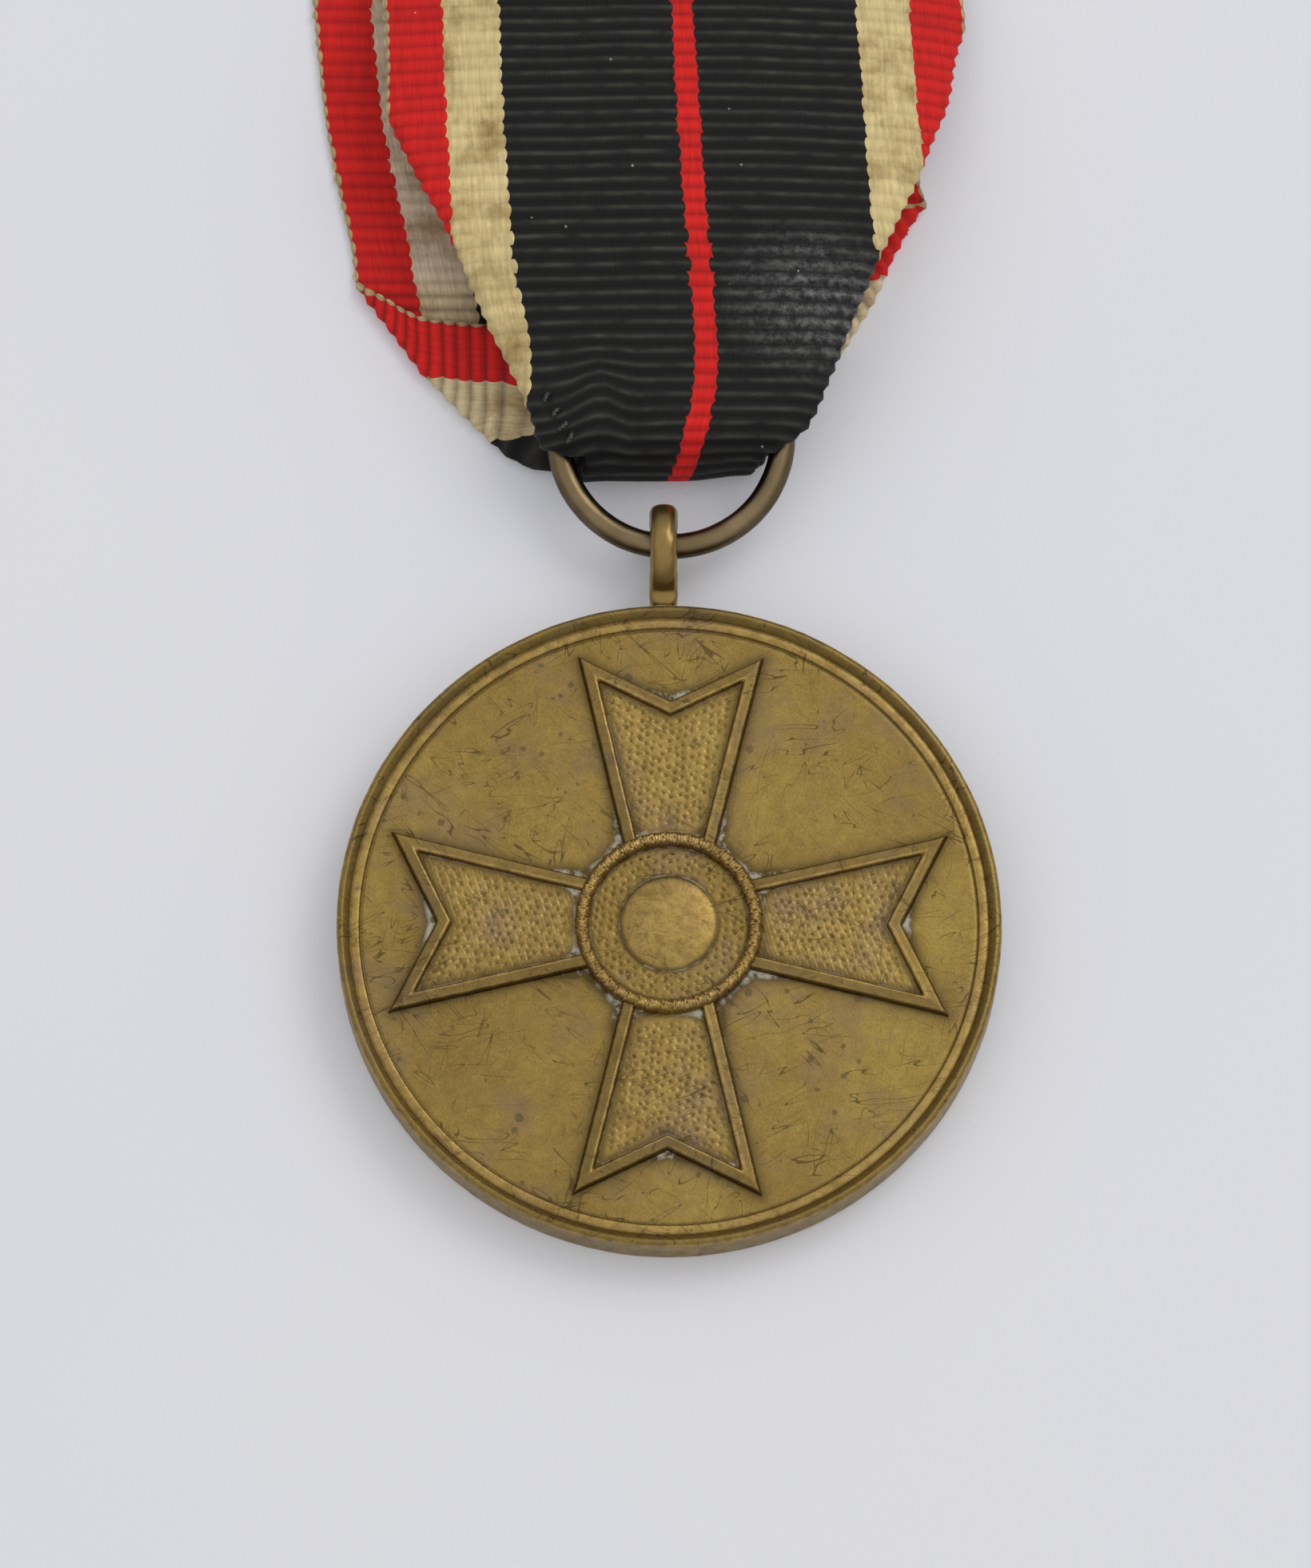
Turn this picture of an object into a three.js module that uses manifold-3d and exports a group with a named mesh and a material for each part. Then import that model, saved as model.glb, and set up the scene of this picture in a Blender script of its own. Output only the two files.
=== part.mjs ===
// Military service medal lying face up: a struck bronze disc with a notched cross, a flat loop soldered to
// the disc's edge, a wire ring through the loop, and a striped ribbon folded in through the ring.
// Millimetres, +Z up, +Y from the disc towards the ribbon. The origin is the centre of the disc's reverse field.
import * as THREE from 'three';
import { mergeVertices } from 'three/addons/utils/BufferGeometryUtils.js';
import Module from 'manifold-3d';

const wasm = await Module();
wasm.setup();

// ---- struck disc ------------------------------------------------------------------------------------
const DISC_RADIUS = 16.0;
const DISC_THICKNESS = 2.6;        // over the raised rims of both faces
const EDGE_ROUND = 0.18;           // worn corner between each rim and the edge
const RIM_WIDTH = 0.6;
const BEAD_RADIUS = 15.05;         // middle of the low line inside the rim
const BEAD_WIDTH = 0.44;
const BEAD_HEIGHT = 0.16;
const OBVERSE_FIELD = 2.12;        // height of the obverse field above the reverse rim
const REVERSE_FIELD = 0.3;         // depth of the reverse field below its rim
const RELIEF_OVERLAP = 0.3;        // how far raised work is sunk into the disc, so that it joins it

// ---- notched cross ----------------------------------------------------------------------------------
const CROSS_TURN = -0.4;           // degrees, set of the struck cross on the disc
const ARM_ROOT = [2.13, 3.6];      // half width and distance from the centre, beneath the wreath
const ARM_TIP = [4.457, 13.366];   // corner of a flared arm
const ARM_NOTCH = 11.18;           // bottom of the V cut into each arm's end
const ARM_BORDER = 0.66;           // width of the raised border
const BORDER_TOP = 2.52;
const PEBBLE_TOP = 2.26;           // level of the pebbled ground inside the border

// ---- wreath and boss --------------------------------------------------------------------------------
const WREATH_RADIUS = 4.18;
const WREATH_THICKNESS = 0.64;
const WREATH_TOP = 2.78;
const BOSS_RADIUS = 2.3;
const BOSS_TOP = 2.55;

// ---- loop on the edge -------------------------------------------------------------------------------
const LOOP_X = -0.26;
const LOOP_Y = 19.1;               // centre of the loop's eye, along the disc
const LOOP_RADIUS = 2.35;
const EYE_RADIUS = 1.2;
const LOOP_WIDTH = 1.4;            // along X
const LOOP_BEVEL = 0.3;
const NECK_THICKNESS = 1.25;       // along Z
const NECK_FOOT = 16.42;           // where the neck meets the solder
const SOLDER_INNER = 16.05;
const SOLDER_OUTER = 16.36;
const SOLDER_SIZE = [1.9, 1.8];    // along X and Z

// ---- ring -------------------------------------------------------------------------------------------
const RING_RADIUS = 5.48;          // to the middle of the wire
const WIRE_RADIUS = 0.62;
const RING_X = 0.1;
const RING_LOW_Y = 19.45;          // middle of the wire inside the loop
const RING_LOW_HEIGHT = 2.1;       // above the table
const RING_HIGH_HEIGHT = 3.6;      // middle of the wire inside the ribbon's fold

// ---- ribbon -----------------------------------------------------------------------------------------
const RIBBON_WIDTH = 29.0;
const CLOTH = 0.5;                 // solid thickness of one layer
const DOUBLED = 0.75;              // solid thickness of the front layer with the sides folded behind it
const BACK_DOUBLED = 1.1;          // the same for the back layer
const FOLD_Y = 22.9;               // front of the fold inside the ring
const FOLD_SIDES = [-3.9, 4.25];   // the fold's width inside the ring
const FOLD_JOIN = 24.3;            // where the fold's round nose meets the layers
const BEND_Y = 45.0;               // line about which the cloth bends above the folded part
const BEND_GAP = 2.2;              // half length of the cloth that bends
const PIECE_GAP = 0.15;            // half the gap between neighbouring solids of the ribbon
const FRONT_END = 86.0;
const BACK_END = 88.5;

// Middle of the front layer seen from the side: distance along Y and height above the table.
const FRONT_RISE = [
  [23.6, 3.5], [25, 4.3], [27.5, 4.85], [30.3, 5.2], [34, 5.4], [38, 5.3], [42, 4.95],
  [47, 4.25], [54, 3.05], [61, 1.95], [68, 1.4], [76, 1.25], [86, 1.2],
];
// Middle of each layer seen from above: distance along Y and X.
const FRONT_PATH = [[22.9, 0.6], [30.3, 1.6], [36.6, 1.3], [47.3, 0.66], [86, -0.7]];
const BACK_PATH = [[22.9, 0.2], [33.2, -0.8], [43.2, -2.7], [49.1, -3.3], [88.5, -4.8]];
// Corners of the two funnels that the folded sides leave, from above.
const FRONT_FUNNEL = [[-4.6, 24.3], [4.7, 24.3], [13.9, 42.6], [-13.7, 40.0]];
const BACK_FUNNEL = [[-7.6, 24.3], [5.5, 24.3], [12.4, 37.8], [-15.0, 33.1]];

// ---- stitches ---------------------------------------------------------------------------------------
const THREAD_RADIUS = 0.11;
const STITCH_LENGTH = 0.8;
const STITCH_START = [-6.35, 26.6];
const STITCH_STEP = [0.52, -0.66];
const STITCH_COUNT = 4;
const STITCH_TURN = 1.15;          // radians from +X
const STITCH_LIFT = 0.1;           // clear of the cloth

// The disc leans back on its loop, whose eye is wider than the disc is thick.
const TILT = Math.asin((LOOP_RADIUS - DISC_THICKNESS / 2) / (DISC_RADIUS + LOOP_Y));
const MEDAL_Y = REVERSE_FIELD * Math.sin(TILT);
const MEDAL_Z = -REVERSE_FIELD * Math.cos(TILT);
const TABLE = MEDAL_Z - DISC_RADIUS * Math.sin(TILT);

const bronze = { color: 0x8d7440, roughness: 0.45, metalness: 1 };
const darkBronze = { color: 0x5f5543, roughness: 0.4, metalness: 1 };
const greySolder = { color: 0x6f7068, roughness: 0.55, metalness: 1 };
const stripedCloth = { color: 0x2a2924, roughness: 0.9, metalness: 0 };
const backCloth = { color: 0xa8332a, roughness: 0.9, metalness: 0 };
const thread = { color: 0x30302c, roughness: 0.7, metalness: 0 };

function piece(name, geometry, finish) {
  const mesh = new THREE.Mesh(geometry, new THREE.MeshStandardMaterial(finish));
  mesh.name = name;
  return mesh;
}

// Booleans: a closed geometry becomes a solid, and a solid becomes a geometry again.
function solid(geometry) {
  const bare = geometry.clone();
  bare.deleteAttribute('normal');
  bare.deleteAttribute('uv');
  const merged = mergeVertices(bare, 1e-5);
  return new wasm.Manifold(new wasm.Mesh({
    numProp: 3,
    vertProperties: new Float32Array(merged.attributes.position.array),
    triVerts: new Uint32Array(merged.index.array),
  }));
}

function geometryOf(body) {
  const mesh = body.getMesh();
  const geometry = new THREE.BufferGeometry();
  geometry.setAttribute('position', new THREE.BufferAttribute(mesh.vertProperties, 3));
  geometry.setIndex(new THREE.BufferAttribute(mesh.triVerts, 1));
  return geometry;
}

function shapeOf(points) {
  return new THREE.Shape(points.map(([x, y]) => new THREE.Vector2(x, y)));
}

// A flat outline in XY, raised from low to high.
function slab(shape, low, high, curveSegments = 12) {
  const geometry = new THREE.ExtrudeGeometry(shape, { depth: high - low, bevelEnabled: false, curveSegments });
  return geometry.translate(0, 0, low);
}

// An outline in YZ, carried along X from one side to the other.
function sideProfile(shape, from, to, options = {}) {
  const bevel = options.bevelThickness ?? 0;
  const settings = { depth: to - from - 2 * bevel, bevelEnabled: false, curveSegments: 14, ...options };
  const geometry = new THREE.ExtrudeGeometry(shape, settings);
  const turned = new THREE.Matrix4().makeBasis(
    new THREE.Vector3(0, 1, 0), new THREE.Vector3(0, 0, 1), new THREE.Vector3(1, 0, 0));
  return geometry.applyMatrix4(turned).translate(from + bevel, 0, 0);
}

// A profile of [radius, height] points turned about Z.
function turned(profile, segments) {
  const points = profile.map(([r, z]) => new THREE.Vector2(r, z));
  return new THREE.LatheGeometry(points, segments).rotateX(Math.PI / 2);
}

function discBody() {
  const top = DISC_THICKNESS;
  const inner = DISC_RADIUS - RIM_WIDTH;
  const beadOut = BEAD_RADIUS + BEAD_WIDTH / 2;
  const beadIn = BEAD_RADIUS - BEAD_WIDTH / 2;
  const profile = [
    [0, REVERSE_FIELD], [inner - 0.2, REVERSE_FIELD], [inner, 0], [DISC_RADIUS - EDGE_ROUND, 0],
    [DISC_RADIUS, EDGE_ROUND], [DISC_RADIUS, top - EDGE_ROUND], [DISC_RADIUS - EDGE_ROUND, top],
    [inner, top], [inner - 0.08, OBVERSE_FIELD + 0.05], [beadOut, OBVERSE_FIELD],
    [BEAD_RADIUS + 0.1, OBVERSE_FIELD + BEAD_HEIGHT], [BEAD_RADIUS - 0.1, OBVERSE_FIELD + BEAD_HEIGHT],
    [beadIn, OBVERSE_FIELD], [0, OBVERSE_FIELD],
  ];
  return solid(turned(profile, 96));
}

// One arm points along +Y. The inner outline runs a border's width inside the outer one.
function armOutline(inset) {
  const [rootX, rootY] = ARM_ROOT;
  const [tipX, tipY] = ARM_TIP;
  const side = Math.atan2(tipX - rootX, tipY - rootY);
  const end = Math.atan2(tipY - ARM_NOTCH, tipX);
  const notch = ARM_NOTCH - inset / Math.cos(end);
  const sideX = (y) => rootX + (y - rootY) * Math.tan(side) - inset / Math.cos(side);
  // The inset side and the inset end cross where notch + x tan(end) = y and x = sideX(y).
  const corner = (sideX(notch)) / (1 - Math.tan(end) * Math.tan(side));
  const cornerY = notch + corner * Math.tan(end);
  return [[-sideX(rootY), rootY], [sideX(rootY), rootY], [corner, cornerY], [0, notch], [-corner, cornerY]];
}

function crossBody() {
  const outer = shapeOf(armOutline(0));
  const inner = shapeOf(armOutline(ARM_BORDER));
  const low = OBVERSE_FIELD - RELIEF_OVERLAP;
  const ground = solid(slab(outer, low, PEBBLE_TOP));
  const raised = solid(slab(outer, low, BORDER_TOP)).subtract(solid(slab(inner, PEBBLE_TOP, BORDER_TOP + 1)));
  const arm = ground.add(raised);
  let cross = arm;
  for (let quarter = 1; quarter < 4; quarter += 1) cross = cross.add(arm.rotate([0, 0, 90 * quarter]));
  return cross.rotate([0, 0, CROSS_TURN]);
}

function wreathBody() {
  const half = WREATH_THICKNESS / 2;
  const low = OBVERSE_FIELD - RELIEF_OVERLAP;
  const crown = new THREE.Path();
  crown.moveTo(WREATH_RADIUS + half, low);
  crown.lineTo(WREATH_RADIUS + half, WREATH_TOP - half);
  crown.absarc(WREATH_RADIUS, WREATH_TOP - half, half, 0, Math.PI, false);
  crown.lineTo(WREATH_RADIUS - half, low);
  crown.closePath();
  const profile = crown.getPoints(4).map((p) => [p.x, p.y]);
  const ring = solid(turned(profile, 60));
  const ground = [[0, low], [WREATH_RADIUS, low], [WREATH_RADIUS, PEBBLE_TOP], [0, PEBBLE_TOP]];
  const dome = [[0, low], [BOSS_RADIUS, low], [BOSS_RADIUS, PEBBLE_TOP], [BOSS_RADIUS * 0.7, BOSS_TOP - 0.08],
    [BOSS_RADIUS * 0.35, BOSS_TOP], [0, BOSS_TOP + 0.02]];
  return ring.add(solid(turned(ground, 60))).add(solid(turned(dome, 48)));
}

function medalDisc() {
  return piece('medal_disc', geometryOf(discBody().add(crossBody()).add(wreathBody())), bronze);
}

function edgeLoop() {
  const middle = DISC_THICKNESS / 2;
  const half = NECK_THICKNESS / 2;
  const outline = new THREE.Shape();
  const inset = LOOP_RADIUS - LOOP_BEVEL;
  const neck = half - LOOP_BEVEL;
  const start = Math.asin(neck / inset);
  outline.moveTo(NECK_FOOT + LOOP_BEVEL, middle - neck);
  outline.absarc(LOOP_Y, middle, inset, Math.PI + start, 3 * Math.PI - start, false);
  outline.lineTo(NECK_FOOT + LOOP_BEVEL, middle + neck);
  outline.closePath();
  const eye = new THREE.Path();
  eye.absarc(LOOP_Y, middle, EYE_RADIUS + LOOP_BEVEL, 0, 2 * Math.PI, true);
  outline.holes.push(eye);
  const bevel = { bevelEnabled: true, bevelThickness: LOOP_BEVEL, bevelSize: LOOP_BEVEL, bevelSegments: 2 };
  const from = LOOP_X - LOOP_WIDTH / 2;
  return piece('suspension_loop', sideProfile(outline, from, from + LOOP_WIDTH, bevel), bronze);
}

// A pad of solder that follows the disc's edge on one side and carries the loop's neck on the other.
function solderJoint() {
  const [wide, high] = SOLDER_SIZE;
  const foot = shapeOf([[LOOP_X - wide / 2, 15.5], [LOOP_X + wide / 2, 15.5],
    [LOOP_X + wide / 2 - 0.25, SOLDER_OUTER], [LOOP_X - wide / 2 + 0.25, SOLDER_OUTER]]);
  const middle = DISC_THICKNESS / 2;
  const pad = solid(slab(foot, middle - high / 2, middle + high / 2));
  const edge = new THREE.CylinderGeometry(SOLDER_INNER, SOLDER_INNER, 10, 240).rotateX(Math.PI / 2);
  return piece('loop_solder', geometryOf(pad.subtract(solid(edge))), greySolder);
}

// The ring leans up from the loop to the ribbon's fold.
function wireRing() {
  const lean = Math.asin((RING_HIGH_HEIGHT - RING_LOW_HEIGHT) / (2 * RING_RADIUS));
  const ring = piece('wire_ring', new THREE.TorusGeometry(RING_RADIUS, WIRE_RADIUS, 14, 60), darkBronze);
  ring.rotation.x = lean;
  ring.position.set(RING_X, RING_LOW_Y + RING_RADIUS * Math.cos(lean),
    TABLE + (RING_LOW_HEIGHT + RING_HIGH_HEIGHT) / 2);
  return ring;
}

function spline(points) {
  return new THREE.SplineCurve(points.map(([x, y]) => new THREE.Vector2(x, y)));
}

// Value of a smooth curve through points at one distance along Y.
function along(curve, y) {
  let low = 0;
  let high = 1;
  for (let i = 0; i < 30; i += 1) {
    const middle = (low + high) / 2;
    if (curve.getPoint(middle).x < y) low = middle;
    else high = middle;
  }
  return curve.getPoint(low).y;
}

const frontRise = spline(FRONT_RISE);
const frontPath = spline(FRONT_PATH);
const backPath = spline(BACK_PATH);

function steps(from, to, count) {
  return Array.from({ length: count + 1 }, (_, i) => from + ((to - from) * i) / count);
}

// The front layer between two distances: its upper face follows the rise, and it is `thick` deep.
function frontLayer(from, to, thick, count) {
  const ys = steps(from, to, count);
  const top = ys.map((y) => [y, TABLE + along(frontRise, y) + CLOTH / 2]);
  const bottom = ys.map((y) => [y, TABLE + along(frontRise, y) + CLOTH / 2 - thick]);
  return solid(sideProfile(shapeOf([...bottom, ...top.reverse()]), -40, 40));
}

// A strip of the ribbon's width seen from above, following a path.
function stripOutline(path, from, to, count) {
  const ys = steps(from, to, count);
  const left = ys.map((y) => [along(path, y) - RIBBON_WIDTH / 2, y]);
  const right = ys.map((y) => [along(path, y) + RIBBON_WIDTH / 2, y]);
  return shapeOf([...right, ...left.reverse()]);
}

// A funnel from above, with the strip above it up to the bending line.
function funnelOutline(path, funnel, end) {
  const [lowLeft, lowRight, highRight, highLeft] = funnel;
  const middle = along(path, end);
  const half = RIBBON_WIDTH / 2 - 0.3;
  return shapeOf([lowLeft, lowRight, highRight, [middle + half, end], [middle - half, end], highLeft]);
}

function frontTail() {
  const start = BEND_Y + BEND_GAP;
  const layer = frontLayer(start, FRONT_END, CLOTH, 16);
  const outline = solid(slab(stripOutline(frontPath, start - 1, FRONT_END + 1, 8), -20, 20));
  return piece('ribbon_front_tail', geometryOf(layer.intersect(outline)), stripedCloth);
}

function backTail() {
  const outline = stripOutline(backPath, BEND_Y + BEND_GAP, BACK_END, 8);
  return piece('ribbon_back_tail', slab(outline, TABLE, TABLE + CLOTH), backCloth);
}

function frontBend() {
  const from = BEND_Y - BEND_GAP + 2 * PIECE_GAP;
  const to = BEND_Y + BEND_GAP - 2 * PIECE_GAP;
  const outline = solid(slab(stripOutline(frontPath, from - 1, to + 1, 4), -20, 20));
  return piece('ribbon_front_bend', geometryOf(frontLayer(from, to, CLOTH, 4).intersect(outline)), stripedCloth);
}

function backBend() {
  const from = BEND_Y - BEND_GAP + 2 * PIECE_GAP;
  const to = BEND_Y + BEND_GAP - 2 * PIECE_GAP;
  return piece('ribbon_back_bend', slab(stripOutline(backPath, from, to, 4), TABLE, TABLE + CLOTH), backCloth);
}

function frontFold() {
  const from = FOLD_JOIN + PIECE_GAP;
  const to = BEND_Y - BEND_GAP;
  const layer = frontLayer(from, to, DOUBLED, 12);
  const outline = solid(slab(funnelOutline(frontPath, FRONT_FUNNEL, to + 1), -20, 20));
  return piece('ribbon_front_fold', geometryOf(layer.intersect(outline)), stripedCloth);
}

function backFold() {
  const outline = funnelOutline(backPath, BACK_FUNNEL, BEND_Y - BEND_GAP);
  return piece('ribbon_back_fold', slab(outline, TABLE, TABLE + BACK_DOUBLED), backCloth);
}

// The round nose that joins the two layers inside the ring: a C seen from the side.
function foldNose() {
  const high = along(frontRise, FOLD_JOIN) + CLOTH / 2;
  const radius = high / 2;
  const end = FOLD_JOIN - PIECE_GAP;
  const reach = end - FOLD_Y;
  const arc = (inset) => steps(-Math.PI / 2, Math.PI / 2, 16).map((angle) => [
    end - (reach - inset) * Math.cos(angle),
    TABLE + radius + (radius - inset) * Math.sin(angle),
  ]);
  const shape = shapeOf([...arc(0).reverse(), ...arc(CLOTH)]);
  const [left, right] = FOLD_SIDES;
  return piece('ribbon_fold_nose', sideProfile(shape, left, right), stripedCloth);
}

// Short stitches of thread through the folded edge, each lying on the front layer.
function tackStitch(index) {
  const x = STITCH_START[0] + STITCH_STEP[0] * index;
  const y = STITCH_START[1] + STITCH_STEP[1] * index;
  const stitch = piece(`tack_stitch_${index + 1}`,
    new THREE.CapsuleGeometry(THREAD_RADIUS, STITCH_LENGTH - 2 * THREAD_RADIUS, 3, 8), thread);
  stitch.rotation.z = STITCH_TURN - Math.PI / 2;
  stitch.position.set(x, y, TABLE + along(frontRise, y) + CLOTH / 2 + THREAD_RADIUS + STITCH_LIFT);
  return stitch;
}

const medal = new THREE.Group();
medal.rotation.x = TILT;
medal.position.set(0, MEDAL_Y, MEDAL_Z);
medal.add(medalDisc(), edgeLoop(), solderJoint());

const ribbon = new THREE.Group();
ribbon.add(frontTail(), backTail(), frontBend(), backBend(), frontFold(), backFold(), foldNose());
for (let i = 0; i < STITCH_COUNT; i += 1) ribbon.add(tackStitch(i));

const object = new THREE.Group();
object.add(medal, wireRing(), ribbon);

export default object;
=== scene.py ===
"""Looks of a military service medal: a struck bronze disc on a soldered loop, a wire ring, and a striped
ribbon folded in through the ring. Shapes are worked out in millimetres and put into the meshes in metres.
"""

import functools
import math

import bpy
import numpy as np
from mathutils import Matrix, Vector


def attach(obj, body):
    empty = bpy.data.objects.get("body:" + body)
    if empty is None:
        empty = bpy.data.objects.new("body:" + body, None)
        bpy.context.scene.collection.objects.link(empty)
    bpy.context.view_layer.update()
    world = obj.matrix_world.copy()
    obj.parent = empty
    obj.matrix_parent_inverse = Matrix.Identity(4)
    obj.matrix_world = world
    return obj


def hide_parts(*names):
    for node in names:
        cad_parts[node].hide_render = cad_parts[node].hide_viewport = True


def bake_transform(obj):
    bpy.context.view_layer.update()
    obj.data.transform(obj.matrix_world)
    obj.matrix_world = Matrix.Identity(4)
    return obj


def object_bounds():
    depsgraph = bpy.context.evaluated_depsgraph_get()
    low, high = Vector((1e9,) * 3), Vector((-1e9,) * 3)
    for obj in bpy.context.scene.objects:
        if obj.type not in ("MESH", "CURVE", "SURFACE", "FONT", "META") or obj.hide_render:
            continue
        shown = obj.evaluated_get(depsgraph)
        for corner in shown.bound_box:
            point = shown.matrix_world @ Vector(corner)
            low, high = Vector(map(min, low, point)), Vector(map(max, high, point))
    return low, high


bl_info = {
    "name": "Service Medal",
    "version": (1, 0, 0),
    "blender": (4, 5, 0),
    "location": "View3D > Sidebar > Medal",
    "description": "Builds a struck bronze medal with its loop, ring and folded ribbon",
    "category": "Object",
}

MM = 0.001

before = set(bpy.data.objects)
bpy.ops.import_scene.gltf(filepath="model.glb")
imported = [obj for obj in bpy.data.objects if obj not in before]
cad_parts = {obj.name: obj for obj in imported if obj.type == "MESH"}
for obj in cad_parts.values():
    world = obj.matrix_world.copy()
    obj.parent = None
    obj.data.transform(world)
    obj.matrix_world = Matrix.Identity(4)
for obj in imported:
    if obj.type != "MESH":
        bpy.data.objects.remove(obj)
CAD_LOW, CAD_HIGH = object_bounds()
TABLE = CAD_LOW.z / MM             # height of the surface that the medal lies on

# ---- sizes that the design fixes, in millimetres ------------------------------------------------------
DISC_THICKNESS = 2.6
RIM_WIDTH = 0.62
BAND_INNER = 14.86                 # inner side of the flat band inside the rim
BAND_HEIGHT = 0.13                 # above the field
GROOVE_DEPTH = 0.03
FIELD = 2.12                       # obverse field above the reverse rim
REVERSE_FIELD = 0.3
SUNK = 0.25                        # how deep raised work starts below the field
CROSS_TURN = math.radians(-0.4)
ARM_ROOT = (2.13, 3.6)
ARM_TIP = (4.457, 13.366)
ARM_NOTCH = 11.18
BORDER_TOP = 2.5
PEBBLE_GROUND = 2.25
WREATH_RADIUS = 4.18
WREATH_HALF = 0.36
WREATH_TOP = 2.8
BOSS_RADIUS = 2.3
BOSS_TOP = 2.56
LOOP_X = -0.26
LOOP_Y = 19.1
LOOP_RADIUS = 2.35
EYE_RADIUS = 1.2
NECK_HALF = 0.6
NECK_LENGTH = 3.05
RING_X = 0.1
RING_LOW_Y = 19.45
RING_LOW = 2.1                     # wire above the table, inside the loop
RING_HIGH = 3.6                    # wire above the table, inside the ribbon
FOLD_Y = 23.15                     # middle of the cloth at the turn inside the ring
FRONT_END = 86.0
BACK_END = 88.5
TILT = math.asin((LOOP_RADIUS - DISC_THICKNESS / 2) / (16.0 + LOOP_Y))


# ---- small helpers --------------------------------------------------------------------------------------
def linear(code):
    """An sRGB hex colour as linear red, green and blue."""
    parts = [int(code[i:i + 2], 16) / 255 for i in (1, 3, 5)]
    return [c / 12.92 if c <= 0.04045 else ((c + 0.055) / 1.055) ** 2.4 for c in parts]


def smoothstep(low, high, x):
    """0 before low, 1 after high, and a smooth cubic between."""
    t = np.clip((x - low) / (high - low), 0, 1)
    return t * t * (3 - 2 * t)


def through(points, x):
    """A smooth curve through points, in order of their first number: cubic Hermite pieces whose slopes are
    those of the neighbouring points. Outside the points it goes on straight."""
    px, py = np.array(points, float).T
    slope = np.gradient(py, px)
    i = np.clip(np.searchsorted(px, x) - 1, 0, len(px) - 2)
    gap = px[i + 1] - px[i]
    t = np.clip((x - px[i]) / gap, 0, 1)
    inside = ((1 + 2 * t) * (1 - t) ** 2 * py[i] + t * (1 - t) ** 2 * gap * slope[i]
              + t * t * (3 - 2 * t) * py[i + 1] + t * t * (t - 1) * gap * slope[i + 1])
    below = np.minimum(x - px[0], 0) * slope[0]
    above = np.maximum(x - px[-1], 0) * slope[-1]
    return inside + below + above


def circle(count):
    """Evenly spaced angles once round."""
    return np.arange(count) * 2 * math.pi / count


def squarish(angle, power):
    """Across and up on a rounded square: the cosine and the sine raised to a power, signs kept."""
    return [np.sign(w) * np.abs(w) ** power for w in (np.cos(angle), np.sin(angle))]


def waves(seed, *axes, octaves=3):
    """Soft irregularity from -1 to 1: a sum of sine waves with seeded directions and phases."""
    rng = np.random.default_rng(seed)
    total = 0
    for k in range(octaves):
        turn = rng.uniform(0, 2 * math.pi, len(axes) + 1)
        phase = sum(axis * (1.7 ** k) * math.cos(t + k) for axis, t in zip(axes, turn))
        total = total + np.sin(phase * 1.9 + turn[-1])
    return total / octaves


# ---- surfaces -------------------------------------------------------------------------------------------
def points(x, y, z):
    """Three grids of coordinates as one list of points, row by row."""
    return np.stack(np.broadcast_arrays(x, y, z), axis=-1).reshape(-1, 3)


def numbered(rows, columns):
    """The numbers of a grid's vertices."""
    return np.arange(rows * columns).reshape(rows, columns)


def border_of(index):
    """The vertex numbers once round a grid's outer edge."""
    return np.concatenate([index[0, :-1], index[:-1, -1], index[-1, :0:-1], index[:0:-1, 0]])


def wall_between(upper, lower):
    """Four-cornered faces between two closed loops of vertices."""
    return np.stack([upper, lower, np.roll(lower, -1), np.roll(upper, -1)], axis=1)


class Surface:
    """Vertices in millimetres, faces by number of corners, a UV and two marks for each vertex. The first is
    1 at the foot of raised work, and also carries painted shade on the loop, on the wire and along the
    disc's fine grooves. The second is 1 where handling has brightened the high spots, and also carries
    painted highlights on the disc's edge wall, along the borders' inner lips and along the top of the wire."""

    def __init__(self, verts, faces, uv=None, crevice_and_shade=None, wear_and_highlight=None):
        count = len(verts)
        self.verts = np.asarray(verts, float)
        self.faces = [np.asarray(f, int) for f in faces if len(f)]
        self.uv = np.zeros((count, 2)) if uv is None else uv
        self.crevice_and_shade = np.zeros(count) if crevice_and_shade is None else np.clip(crevice_and_shade, 0, 1).ravel()
        self.wear_and_highlight = np.zeros(count) if wear_and_highlight is None else np.clip(wear_and_highlight, 0, 1).ravel()

    def moved(self, change):
        return Surface(change(self.verts), self.faces, self.uv, self.crevice_and_shade, self.wear_and_highlight)


def joined(surfaces):
    """Several surfaces as one."""
    starts = np.cumsum([0] + [len(s.verts) for s in surfaces[:-1]])
    faces = [f + start for s, start in zip(surfaces, starts) for f in s.faces]
    verts, uv, crevice_and_shade, wear_and_highlight = [np.concatenate([getattr(s, name) for s in surfaces])
                                for name in ("verts", "uv", "crevice_and_shade", "wear_and_highlight")]
    return Surface(verts, faces, uv, crevice_and_shade, wear_and_highlight)


def grid_faces(rows, columns, close_rows=False, close_columns=False):
    """Four-cornered faces of a grid of vertices, numbered row by row. They face the way of (along the row)
    cross (along the column)."""
    r = np.arange(rows if close_rows else rows - 1)
    c = np.arange(columns if close_columns else columns - 1)
    r, c = np.meshgrid(r, c, indexing="ij")
    r, c = r.ravel(), c.ravel()
    r1, c1 = (r + 1) % rows, (c + 1) % columns
    return np.stack([r * columns + c, r * columns + c1, r1 * columns + c1, r1 * columns + c], axis=1)


def fan(pole, loop):
    """Triangles from one pole to a closed loop of vertices."""
    return np.stack([np.full(len(loop), pole), loop, np.roll(loop, -1)], axis=1)


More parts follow.
